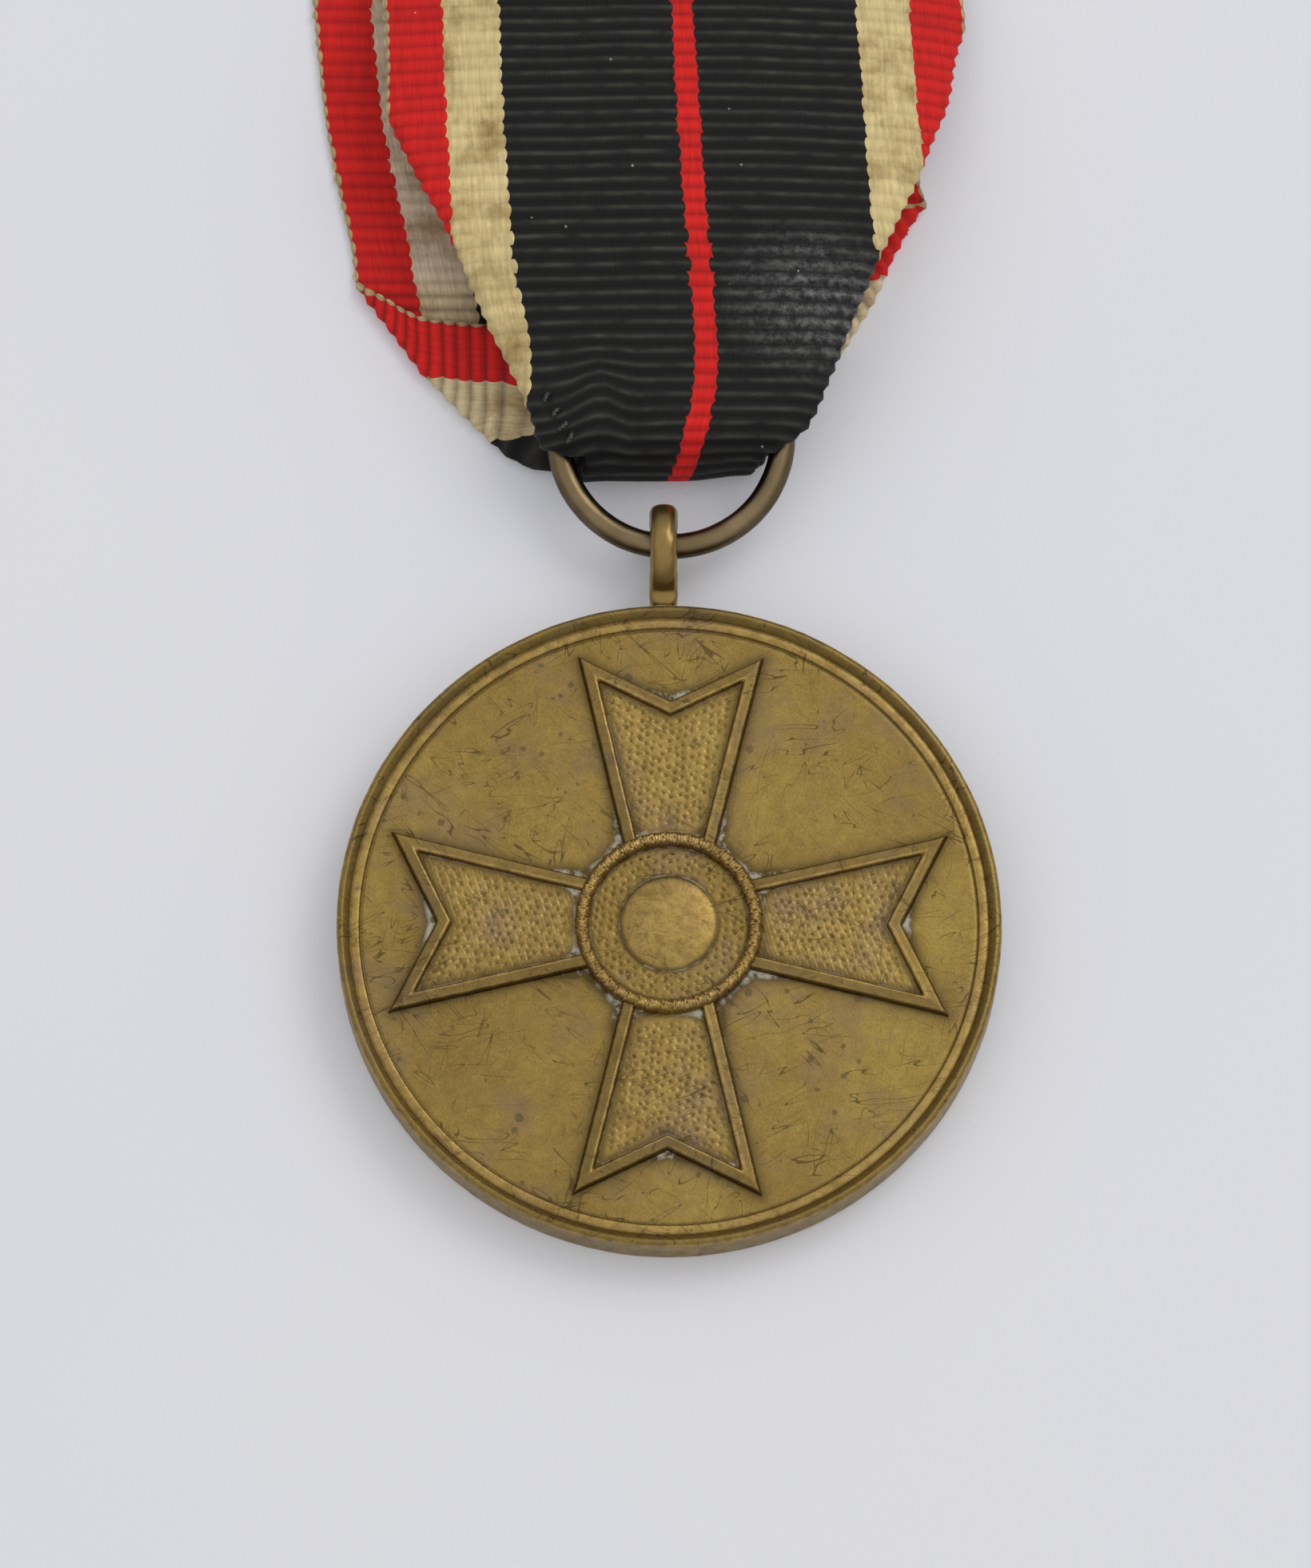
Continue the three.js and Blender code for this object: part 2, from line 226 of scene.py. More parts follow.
def put_in_scene(name, surface, material):
    """The surface as a smooth-shaded mesh object at the origin."""
    corners = np.concatenate([f.ravel() for f in surface.faces])
    sizes = np.concatenate([np.full(len(f), f.shape[1]) for f in surface.faces])
    starts = np.concatenate([[0], np.cumsum(sizes)[:-1]])
    mesh = bpy.data.meshes.new(name)
    mesh.vertices.add(len(surface.verts))
    mesh.vertices.foreach_set("co", (surface.verts * MM).astype(np.float32).ravel())
    mesh.loops.add(len(corners))
    mesh.loops.foreach_set("vertex_index", corners.astype(np.int32))
    mesh.polygons.add(len(sizes))
    mesh.polygons.foreach_set("loop_start", starts.astype(np.int32))
    mesh.update(calc_edges=True)
    mesh.polygons.foreach_set("use_smooth", np.ones(len(sizes), bool))
    uv_map = mesh.uv_layers.new(name="UVMap")
    uv_map.data.foreach_set("uv", surface.uv[corners].astype(np.float32).ravel())
    for mark in ("crevice_and_shade", "wear_and_highlight"):
        attribute = mesh.attributes.new(mark, "FLOAT", "POINT")
        attribute.data.foreach_set("value", getattr(surface, mark).astype(np.float32))
    mesh.materials.append(material)
    mesh.update()
    if mesh.validate():
        raise RuntimeError(f"{name} has faces that are not valid")
    piece = bpy.data.objects.new(name, mesh)
    bpy.context.scene.collection.objects.link(piece)
    return piece


def turned_round(profile, segments, wobble=0.0):
    """A body of revolution: each [radius, height] point of the profile goes round Z. The profile runs from
    the pole on top to the pole below; `wobble` moves the outer points a little in and out."""
    profile = np.asarray(profile, float)
    rim = profile[1:-1]
    a, r = np.meshgrid(circle(segments), rim[:, 0], indexing="ij")
    z = np.broadcast_to(rim[:, 1], r.shape)
    r = r + wobble * waves(5, 9 * np.cos(a), 9 * np.sin(a), z, octaves=5) * (r > 15.2)
    verts = points(r * np.cos(a), r * np.sin(a), z)
    columns = len(rim)
    count = len(verts)
    verts = np.vstack([verts, [[0, 0, profile[0, 1]], [0, 0, profile[-1, 1]]]])
    first = np.arange(segments) * columns
    faces = [grid_faces(segments, columns, close_rows=True), fan(count, first),
             fan(count + 1, (first + columns - 1)[::-1])]
    return verts, faces


# ---- the struck disc ------------------------------------------------------------------------------------
def arm_outline(inset):
    """Corners of the arm that points along +Y: root, tip, notch, tip, root. Each side is moved in by inset
    along its own normal, so that neighbouring insets meet in mitres."""
    root_x, root_y = ARM_ROOT
    tip_x, tip_y = ARM_TIP
    side = math.atan2(tip_x - root_x, tip_y - root_y)
    end = math.atan2(tip_y - ARM_NOTCH, tip_x)
    notch = ARM_NOTCH - inset / math.cos(end)
    offset = root_x - root_y * math.tan(side) - inset / math.cos(side)
    corner = (offset + notch * math.tan(side)) / (1 - math.tan(end) * math.tan(side))
    corner_y = notch + corner * math.tan(end)
    root = offset + root_y * math.tan(side)
    return np.array([[-root, root_y], [-corner, corner_y], [0, notch], [corner, corner_y], [root, root_y]])


def turn_arms(surface):
    """The arm and its three copies round the centre."""
    arms = []
    for quarter in range(4):
        angle = quarter * math.pi / 2 + CROSS_TURN
        cosine, sine = math.cos(angle), math.sin(angle)
        spin = np.array([[cosine, sine, 0], [-sine, cosine, 0], [0, 0, 1]])
        arms.append(surface.moved(lambda v, spin=spin: v @ spin))
    return joined(arms)


def edge_pockets(x, y):
    """How closely raised work shuts in a point of the field: half beside the nearest edge, dying out in
    0.3 mm, and up to all of it in the notches of the arms and in the corners between arms and wreath."""
    nearest = np.abs(np.hypot(x, y) - WREATH_RADIUS - WREATH_HALF)
    corner = np.full(x.shape, 9.0)
    outline = arm_outline(0)
    for quarter in range(4):
        angle = quarter * math.pi / 2 + CROSS_TURN
        lx = x * math.cos(angle) + y * math.sin(angle)
        ly = -x * math.sin(angle) + y * math.cos(angle)
        for (ax, ay), (bx, by) in zip(outline[:-1], outline[1:]):
            dx, dy = bx - ax, by - ay
            t = np.clip(((lx - ax) * dx + (ly - ay) * dy) / (dx * dx + dy * dy), 0, 1)
            nearest = np.minimum(nearest, np.hypot(lx - ax - t * dx, ly - ay - t * dy))
        root_x, root_y = ARM_ROOT[0] + 0.25, ARM_ROOT[1] + 0.7
        for cx, cy in ((0, ARM_NOTCH), (root_x, root_y), (-root_x, root_y)):
            corner = np.minimum(corner, np.hypot(lx - cx, ly - cy))
    beside = 0.52 * np.exp(-(nearest / 0.34) ** 1.2)
    return np.clip(beside + 0.6 * np.exp(-(corner / 1.0) ** 2) * np.exp(-(nearest / 0.5) ** 2), 0, 1)


def disc_profile(radius):
    """From the middle of the obverse over the flat inner band and the rim, down the edge and back to the
    middle of the reverse. Fine grooves part the band from the field and from the rim, and the rims end in
    quarter rounds."""
    round_off = 0.26
    inner = radius - RIM_WIDTH
    band = FIELD + BAND_HEIGHT
    field = [[r, FIELD] for r in np.linspace(0.5, BAND_INNER - 0.16, 84)]
    groove = [[BAND_INNER - 0.09, FIELD - 0.01], [BAND_INNER - 0.05, FIELD - GROOVE_DEPTH],
              [BAND_INNER, FIELD - GROOVE_DEPTH], [BAND_INNER + 0.04, band - 0.06]]
    width = inner - BAND_INNER - 0.2
    flat = [[BAND_INNER + 0.09 + width * t, band + 0.015 * math.sin(math.pi * t)]
            for t in np.linspace(0, 1, 7)]
    step = [[inner - 0.05, band - 0.02], [inner - 0.02, band - 0.03], [inner + 0.02, band + 0.04]]
    rise = DISC_THICKNESS - band
    crown = [[inner + 0.02 + 0.34 * t, band + 0.04 + (rise - 0.04) * t * (1.25 - 0.25 * t)]
             for t in (0.2, 0.4, 0.6, 0.8, 1.0)]
    arc = np.linspace(math.pi / 2, 0, 9)
    top = [[radius - round_off + round_off * math.cos(t),
            DISC_THICKNESS - round_off + round_off * math.sin(t)] for t in arc]
    wall = [[radius, h] for h in np.linspace(DISC_THICKNESS - round_off - 0.06, round_off + 0.06, 9)]
    bottom = [[radius - round_off + round_off * math.cos(t), round_off - round_off * math.sin(t)]
              for t in arc[::-1]]
    back = [[inner + 0.1, 0.01], [inner, 0.06], [inner - 0.1, REVERSE_FIELD - 0.04],
            [inner - 0.16, REVERSE_FIELD], [inner - 0.24, REVERSE_FIELD]]
    reverse = [[r, REVERSE_FIELD] for r in np.linspace(inner - 0.9, 0.6, 12)]
    rows = field + groove + flat + step + crown + top + wall + bottom + back + reverse
    return [[0, FIELD]] + rows + [[0, REVERSE_FIELD]]


def disc_body(radius):
    """The blank with its rims, turned round Z."""
    verts, faces = turned_round(disc_profile(radius), 448, wobble=0.018)
    x, y, z = verts.T
    r = np.hypot(x, y)
    on_field = (z > FIELD - 0.1) & (r < BAND_INNER - 0.1)
    foot = edge_pockets(x, y) * on_field
    # Painted shade: dark lines along the two fine grooves that part the band from the field and from the
    # rim.
    grooves = (BAND_INNER - 0.03, radius - RIM_WIDTH - 0.03)
    lines = [np.exp(-((r - place) / 0.045) ** 2) for place in grooves]
    reverse_foot = 0.46 * np.exp(-((r - radius + RIM_WIDTH + 0.15) / 0.16) ** 2) * (z < 0.5)
    rim = 0.1 * smoothstep(radius - RIM_WIDTH, radius - RIM_WIDTH + 0.06, r)
    # Painted reflection of the bright desk: the whole edge wall is made brighter.
    wall = 0.25 * smoothstep(radius - 0.06, radius - 0.02, r)
    crevice_and_shade = foot + 0.4 * sum(lines) * (z > 1.9) + reverse_foot + rim
    corner = np.exp(-((r - radius + 0.05) / 0.06) ** 2) * (np.abs(z - DISC_THICKNESS / 2) > 1.0)
    band = smoothstep(BAND_INNER + 0.02, BAND_INNER + 0.1, r) * smoothstep(15.4, 15.3, r) * (z > 1.9)
    return Surface(verts, faces, None, crevice_and_shade, 0.5 * corner + 0.35 * band + wall)


def arm_border():
    """The raised band along an arm's sides and notched end: a profile of [inset, height] points carried
    round the outline, mitred at its corners and closed under the wreath."""
    profile = np.array([
        [-0.07, FIELD - SUNK], [-0.05, FIELD + 0.01], [-0.01, FIELD + 0.12], [0.05, BORDER_TOP - 0.07],
        [0.1, BORDER_TOP - 0.02], [0.17, BORDER_TOP], [0.36, BORDER_TOP - 0.015], [0.45, BORDER_TOP + 0.01],
        [0.51, BORDER_TOP + 0.02], [0.56, BORDER_TOP], [0.61, BORDER_TOP - 0.07], [0.65, BORDER_TOP - 0.18],
        [0.68, PEBBLE_GROUND - 0.03], [0.7, FIELD - SUNK],
    ])
    # Along the profile, the first line brightens the edges and paints a highlight along the inner lip; the
    # second darkens both feet, paints shade down the outer slope and keeps the top a little darker.
    rub_and_highlight_line = np.array([0, 0, 0, 0.35, 0.3, 0.08, 0.04, 0.1, 0.5, 0.8, 0.7, 0.3, 0, 0])
    foot_line = np.array([0.5, 0.5, 0.42, 0.3, 0.24, 0.24, 0.24, 0.22, 0.1, 0, 0, 0.2, 0.5, 0.5])
    corners = np.stack([arm_outline(inset) for inset in profile[:, 0]], axis=1)
    share = np.concatenate([
        corner + (np.arange(steps) / steps) for corner, steps in zip(range(4), (56, 28, 28, 56))] + [[4.0]])
    leg = np.minimum(share.astype(int), 3)
    t = (share - leg)[:, None, None]
    flat = corners[leg] * (1 - t) + corners[leg + 1] * t
    rows, columns = flat.shape[:2]
    height = np.broadcast_to(profile[:, 1], (rows, columns)).copy()
    soft = waves(11, flat[..., 0] * 1.3, flat[..., 1] * 1.3, octaves=4)
    height += 0.012 * soft * (rub_and_highlight_line > 0)
    flat = flat + 0.01 * np.stack([soft, -soft], axis=-1) * (rub_and_highlight_line > 0)[None, :, None]
    verts = np.concatenate([flat, height[..., None]], axis=-1).reshape(-1, 3)
    index = numbered(rows, columns)
    faces = [grid_faces(rows, columns, close_columns=True)[:, ::-1], index[:1], index[-1:, ::-1]]
    return Surface(verts, faces, None, np.tile(foot_line, rows), np.tile(rub_and_highlight_line, rows))


def pits(x, y):
    """Depth of the struck pebbling, 0 on the high ground to 1 in a pit: round dents on slanting rows, each a
    little off its place, where the nearest one counts."""
    pitch = 0.43
    slant = math.radians(24)
    u = (x * math.cos(slant) + y * math.sin(slant)) / pitch
    v = (-x * math.sin(slant) + y * math.cos(slant)) / (pitch * 0.866)
    depth = np.zeros(x.shape)
    for row_step in (-1, 0, 1):
        row = np.floor(v) + row_step
        shift = 0.5 * (row % 2)
        for column_step in (-1, 0, 1):
            column = np.floor(u - shift) + column_step
            seed = np.sin(row * 12.9898 + column * 78.233) * 43758.5453
            nudge = seed - np.floor(seed)
            other = np.sin(row * 39.346 + column * 11.135) * 24634.6345
            nudge_2 = other - np.floor(other)
            du = u - shift - column - 0.5 - 0.46 * (nudge - 0.5)
            dv = (v - row - 0.5 - 0.46 * (nudge_2 - 0.5)) * 0.866
            size = 0.17 + 0.07 * nudge_2
            depth = np.maximum(depth, np.exp(-(du * du + dv * dv) / (size * size)) * (0.75 + 0.35 * nudge))
    return depth


def pebbled(x, y, depth):
    """Height of the pebbled ground at a point, with its pits that deep."""
    return PEBBLE_GROUND - 0.075 * depth + 0.012 * waves(3, x * 6, y * 6)


def shell_from_top(top, rows, columns, low, crevice_and_shade, wear_and_highlight):
    """A closed shell under a grid of points: its border drops to `low` and one flat face closes it."""
    border = border_of(numbered(rows, columns))
    foot = points(*top[border, :2].T, low)
    below = np.arange(len(border)) + len(top)
    faces = [grid_faces(rows, columns), wall_between(border, below), below[::-1][None, :]]
    marks = [np.concatenate([m, m[border]]) for m in (crevice_and_shade, wear_and_highlight)]
    return Surface(np.vstack([top, foot]), faces, None, *marks)


def arm_ground():
    """The pebbled ground inside an arm's border: straight lines from side to side, spread between the root
    and the notched end."""
    inset = 0.6
    root, tip, notch = arm_outline(inset)[[4, 3, 2]]
    side = (tip[0] - root[0]) / (tip[1] - root[1])
    end = (tip[1] - notch[1]) / tip[0]
    columns, rows = 96, 176
    a = np.linspace(-1, 1, columns)[None, :]
    b = np.linspace(0, 1, rows)[:, None]
    low = 3.95
    reach = np.abs(a)
    last = (notch[1] + reach * end * (root[0] - side * root[1])) / (1 - reach * end * side)
    y = low + b * (last - low)
    x = a * (root[0] + side * (y - root[1]))
    side_wall = (1 - reach) * (root[0] + side * (y - root[1]))
    end_wall = (last - y) * 0.9
    depth = pits(x, y) * smoothstep(0.1, 0.55, np.minimum(side_wall, end_wall)) * smoothstep(4.6, 5.4, y)
    z = pebbled(x, y, depth)
    walls = [np.exp(-((wall - 0.05).clip(0) / 0.26) ** 1.2) for wall in (side_wall, end_wall, y - 4.5)]
    crevice_and_shade = 0.58 * sum(walls) + 0.3 * depth
    wear_and_highlight = 0.3 * (1 - depth) * smoothstep(0.2, 0.8, np.minimum(side_wall, end_wall))
    return shell_from_top(points(x, y, z), rows, columns, FIELD - SUNK, crevice_and_shade.ravel(), wear_and_highlight.ravel())


def centre_ground():
    """The plain middle inside the wreath: pebbled ground round a smooth low dome, as rings about a pole."""
    columns, rows = 360, 62
    radius = np.concatenate([np.linspace(0.12, BOSS_RADIUS + 0.1, 22),
                             np.linspace(BOSS_RADIUS + 0.16, 4.1, rows - 22)])
    r, a = np.meshgrid(radius, circle(columns), indexing="ij")
    x, y = r * np.cos(a), r * np.sin(a)
    dome = np.sqrt(np.clip(1 - (r / (BOSS_RADIUS * 1.02)) ** 2, 0, 1)) ** 0.7
    depth = pits(x, y) * smoothstep(BOSS_RADIUS + 0.1, BOSS_RADIUS + 0.35, r) * smoothstep(3.8, 3.55, r)
    foot_z = PEBBLE_GROUND - 0.04
    z = np.where(dome > 0, foot_z + (BOSS_TOP - foot_z) * dome, pebbled(x, y, depth))
    crevice_and_shade = 0.6 * np.exp(-((r - BOSS_RADIUS - 0.08) / 0.12) ** 2)
    crevice_and_shade = crevice_and_shade + 0.6 * np.exp(-((r - 3.84) / 0.13) ** 2) + 0.35 * depth
    foot = points(x[-1], y[-1], FIELD - SUNK)
    verts = np.vstack([points(x, y, z), foot, [[0, 0, BOSS_TOP]]])
    index = numbered(rows, columns)
    below = np.arange(columns) + rows * columns
    faces = [grid_faces(rows, columns, close_columns=True)[:, ::-1], wall_between(index[-1], below),
             fan(len(verts) - 1, index[0]), below[::-1][None, :]]
    marks = np.concatenate([crevice_and_shade.ravel(), np.ones(columns), [0]])
    wear_and_highlight = np.concatenate([(0.5 * dome).ravel(), np.zeros(columns + 1)])
    return Surface(verts, faces, None, marks, wear_and_highlight)


def wreath():
    """A ring of small bound leaves: a half round band round the centre, whose surface rises and falls in
    slanting, pointed leaves that lap over each other, with fine ribs and a vein."""
    columns, rows = 26, 900
    a, c = np.meshgrid(circle(rows), np.linspace(-1, 1, columns), indexing="ij")
    leaves = 46
    saw = (a * leaves / (2 * math.pi) + 0.55 * np.abs(c)) % 1.0
    leaf = np.sqrt(np.clip(1 - saw, 0, 1)) * smoothstep(0, 0.16, saw)
    vein = 0.25 * np.exp(-((c / 0.14) ** 2))
    ribs = 0.5 + 0.5 * np.sin(a * 190 + 2.2 * np.abs(c) + 1.4 * waves(21, a * 14, c, octaves=2))
    relief = 0.09 * (leaf - 0.5) + 0.05 * ribs - 0.05 * vein + 0.025 * waves(8, a * 30, c * 3)
    half = WREATH_HALF * (1 + 0.1 * (leaf - 0.5))
    r = WREATH_RADIUS + c * half
    rise = np.sqrt(np.clip(1 - c ** 2, 0, 1)) ** 0.6
    z = FIELD - 0.02 + (WREATH_TOP - FIELD + relief) * rise
    z[:, [0, -1]] = FIELD - SUNK
    verts = points(r * np.cos(a), r * np.sin(a), z)
    index = numbered(rows, columns)
    faces = [grid_faces(rows, columns, close_rows=True), wall_between(index[:, -1], index[:, 0])]
    crevice_and_shade = 0.7 * np.clip(1 - 2.2 * rise, 0, 1) + 0.45 * np.exp(-((saw - 0.03) / 0.07) ** 2)
    wear_and_highlight = np.clip((relief + 0.03) / 0.07, 0, 1) * rise
    return Surface(verts, faces, None, crevice_and_shade, wear_and_highlight)


def lean_back(verts):
    """From the disc's own place to the medal lying on the table: the disc leans back on its loop."""
    x, y, z = verts.T
    middle_y = REVERSE_FIELD * math.sin(TILT)
    middle_z = -REVERSE_FIELD * math.cos(TILT)
    return np.stack([x, y * math.cos(TILT) - z * math.sin(TILT) + middle_y,
                     y * math.sin(TILT) + z * math.cos(TILT) + middle_z], axis=-1)


# ---- loop, solder and ring ------------------------------------------------------------------------------
def edge_loop(width):
    """The loop that stands on the edge: a rounded section carried round the eye. Its outer side is a circle
    that runs out into the neck, and it stays the same width along X."""
    rows, columns = 128, 40
    turn = circle(rows)
    toward = np.stack([np.cos(turn), np.sin(turn)], axis=-1)
    down = np.clip(-toward[:, 0], 1e-6, None)
    aside = np.clip(np.abs(toward[:, 1]), 1e-6, None)
    foot_half = NECK_HALF + 0.02
    bar = np.where(toward[:, 0] < 0, np.minimum(NECK_LENGTH / down, foot_half / aside), 0)
    outer = (LOOP_RADIUS ** 7 + bar ** 7) ** (1 / 7)
    reach, side = squarish(circle(columns), 0.8)
    middle = (outer + EYE_RADIUS) / 2
    half = (outer - EYE_RADIUS) / 2
    r = middle[:, None] + half[:, None] * reach[None, :]
    y = LOOP_Y + r * toward[:, :1]
    z = DISC_THICKNESS / 2 + r * toward[:, 1:]
    bulge = 1 + 0.04 * np.cos(2 * turn)[:, None]
    x = LOOP_X + width / 2 * side[None, :] * bulge + 0 * r
    uneven = 0.02 * waves(31, y * 3, z * 3, x * 3)
    verts = points(x + uneven, y, z + uneven)
    outside = np.broadcast_to(reach, r.shape)
    flank = np.abs(np.broadcast_to(side, r.shape))
    near_top = np.exp(-((y - LOOP_Y - 0.2) / 1.4) ** 2)
    wear_and_highlight = smoothstep(0.4, 0.9, outside) * near_top
    # Painted shade, in the bronze's brown: the neck below the eye, the inside of the eye, the far end of the
    # loop and both sides along X are darkened.
    crevice_and_shade = smoothstep(LOOP_Y - 0.9, LOOP_Y - 1.9, y) + 0.6 * smoothstep(-0.6, -1, outside)
    crevice_and_shade = crevice_and_shade + 0.4 * smoothstep(LOOP_Y + 1.3, LOOP_Y + 2.3, y)
    crevice_and_shade = crevice_and_shade + 0.5 * smoothstep(0.55, 0.95, flank)
    faces = [grid_faces(rows, columns, close_rows=True, close_columns=True)]
    return Surface(verts, faces, None, 0.43 * np.clip(crevice_and_shade, 0, 1), wear_and_highlight)


def solder_fillet():
    """A collar of solder between the disc's edge and the neck: rounded sections along Y whose size falls in
    a hollow curve, with a slightly lumpy skin."""
    rows, columns = 22, 48
    along = np.linspace(0, 1, rows)
    y = 15.86 + 0.46 * along
    hollow = (1 - along) ** 2.2
    half_x = 0.64 + 0.2 * hollow
    half_z = 0.62 + 0.26 * hollow
    cx, cz = squarish(circle(columns), 0.6)
    x = LOOP_X + half_x[:, None] * cx
    z = DISC_THICKNESS / 2 + half_z[:, None] * cz
    lump = 1 + 0.05 * waves(41, x * 2.5, y[:, None] * 4, z * 2.5)
    x = LOOP_X + (x - LOOP_X) * lump
    verts = points(x, y[:, None], z)
    ends = points(LOOP_X, y[[0, -1]], DISC_THICKNESS / 2)
    index = numbered(rows, columns)
    faces = [grid_faces(rows, columns, close_columns=True), fan(index.size, index[0][::-1]),
             fan(index.size + 1, index[-1])]
    return Surface(np.vstack([verts, ends]), faces)


def ring_place(turn, offset_out, offset_up, radius):
    """A point on the ring's frame: `turn` goes round from its low end, in the leaning plane of the ring."""
    lean = math.asin((RING_HIGH - RING_LOW) / (2 * radius))
    r = radius + offset_out
    along = -r * np.cos(turn)
    x = RING_X + r * np.sin(turn)
    y = RING_LOW_Y + radius * math.cos(lean) + along * math.cos(lean) - offset_up * math.sin(lean)
    z = TABLE + (RING_LOW + RING_HIGH) / 2 + along * math.sin(lean) + offset_up * math.cos(lean)
    return x, y, z


def wire_ring(radius, wire):
    """Round wire carried round a circle and closed by a butt joint: the wire's radius narrows to a fine line
    at the joint, which lies inside the ribbon."""
    rows, columns = 300, 36
    a, c = np.meshgrid(circle(rows), circle(columns), indexing="ij")
    joint = np.exp(-(((a - math.pi) * radius) / 0.07) ** 2)
    r = wire * (1 - 0.12 * joint) + 0.008 * waves(51, a * 5, np.cos(c) * 2, octaves=4)
    verts = points(*ring_place(a, r * np.cos(c), r * np.sin(c), radius))
    uv = np.stack([a / (2 * math.pi), c / (2 * math.pi)], axis=-1).reshape(-1, 2)
    # Painted highlight along the top of the wire all round, and painted shade down its sides and underneath;
    # the butt joint is darker as well.
    top_highlight = 0.8 * smoothstep(0.6, 1.0, np.sin(c + 0.25)) + 0 * a
    dark = 0.7 * joint + 0.8 * smoothstep(0.92, 0.2, np.sin(c + 0.1))
    faces = [grid_faces(rows, columns, close_rows=True, close_columns=True)[:, ::-1]]
    return Surface(verts, faces, uv, dark, top_highlight)


# ---- ribbon ---------------------------------------------------------------------------------------------
HALF_WIDTH = 14.5
RIB_PITCH = 0.75                   # from one weft rib to the next
NOSE = 1.3                         # how fast the cloth turns over inside the ring
TURN = 1.1                         # how far along the cloth the turn reaches
FOLD_ROUND = 0.3                   # radius of the pressed side folds
RIM_HEIGHT = 0.28                  # middle of the back layer above the table

# Middle of the front layer: distance along Y against height above the table, and against X.
FRONT_RISE = [
    [23.15, 3.2], [23.9, 4.22], [25, 4.65], [27.5, 4.95], [30.3, 5.2], [34, 5.4], [38, 5.3], [42, 4.95],
    [47, 4.25], [54, 3.05], [61, 1.95], [68, 1.4], [76, 1.25], [90, 1.2],
]
FRONT_PATH = [
    [23.15, 0.9], [24.5, 1.3], [26.5, 1.72], [28.5, 1.82], [31, 1.68], [36.6, 1.25], [47.3, 0.66],
    [86, -0.7],
]
BACK_PATH = [[22.9, 0.2], [26, 0.05], [33.2, -0.8], [43.2, -2.7], [49.1, -3.3], [88.5, -4.8]]

# Side folds: arc length from the turn against the fold's distance from the centre line.
FOLD_LINES = {
    ("front", -1): [[0, 4.9], [0.5, 5.0], [0.9, 5.5], [1.2, 6.5], [1.5, 7.4], [2, 7.9], [3, 8.4], [5, 9.55],
                    [7, 10.4], [9, 10.85], [11, 11.3], [13, 12.0], [16, 13.3], [18, 14.1], [21, 15.2]],
    ("front", 1): [[0, 3.6], [0.6, 3.7], [1.2, 4.25], [2, 5.05], [3, 5.5], [4, 5.75], [6, 6.45], [9, 7.8],
                   [11, 8.75], [12, 9.3], [14, 10.4], [16, 11.45], [18, 12.3], [20, 13.2], [23, 13.9],
                   [26, 15]],
    ("back", -1): [[0, 6.0], [0.7, 6.6], [1.1, 7.4], [1.6, 8.0], [2.5, 8.85], [4, 10.2], [5, 11.0],
                   [6, 11.8], [8, 13.0], [10, 14.1], [12, 15.2]],
    ("back", 1): [[0, 4.2], [1.4, 4.6], [3.5, 5.9], [6, 8.0], [8, 9.5], [10, 10.9], [13, 12.75],
                  [14.6, 14.0], [16, 15.2]],
}
# Turned-in margins: the direction of their weft in degrees from straight inwards, at the turn and further
# up, and how much of their reach is left where they crowd together inside the ring.
MARGINS = {
    ("front", -1): (60, 62, 0.7),
    ("front", 1): (52, 56, 0.56),
    ("back", -1): (62, 84, 0.7),
    ("back", 1): (60, 66, 0.56),
}
EDGE_DROP = {-1: 1.0, 1: 2.2}      # how far the front layer's edges hang below its middle
FLAP_LIFT = {-1: 0.9, 1: 0.4}      # how far the back layer's turned-in margins rise towards the front layer


def layer_centre(layer):
    """Arc length along a layer's centre line with the Y, X and height there."""
    y = np.linspace(FOLD_Y, 92, 700)
    x = through(FRONT_PATH if layer == "front" else BACK_PATH, y)
    h = through(FRONT_RISE, y) if layer == "front" else np.full(y.shape, RIM_HEIGHT)
    step = np.sqrt(np.diff(y) ** 2 + np.diff(x) ** 2 + np.diff(h) ** 2)
    length = np.concatenate([[0], np.cumsum(step)])
    return length, y, x, h


CENTRES = {layer: layer_centre(layer) for layer in ("front", "back")}


def from_turn(v):
    """Arc length from the turn at v: a hyperbola, so that the middle of the turn is round."""
    return np.sqrt(v * v + TURN ** 2) - TURN


def fold_at(side, v):
    """Where the side fold crosses the weft thread at v, measured from the centre line: the front layer's
    fold changes smoothly into the back layer's just behind the turn."""
    s = from_turn(v)
    out = smoothstep(-2.6, -0.7, v)
    return through(FOLD_LINES["front", side], s) * out + through(FOLD_LINES["back", side], s) * (1 - out)


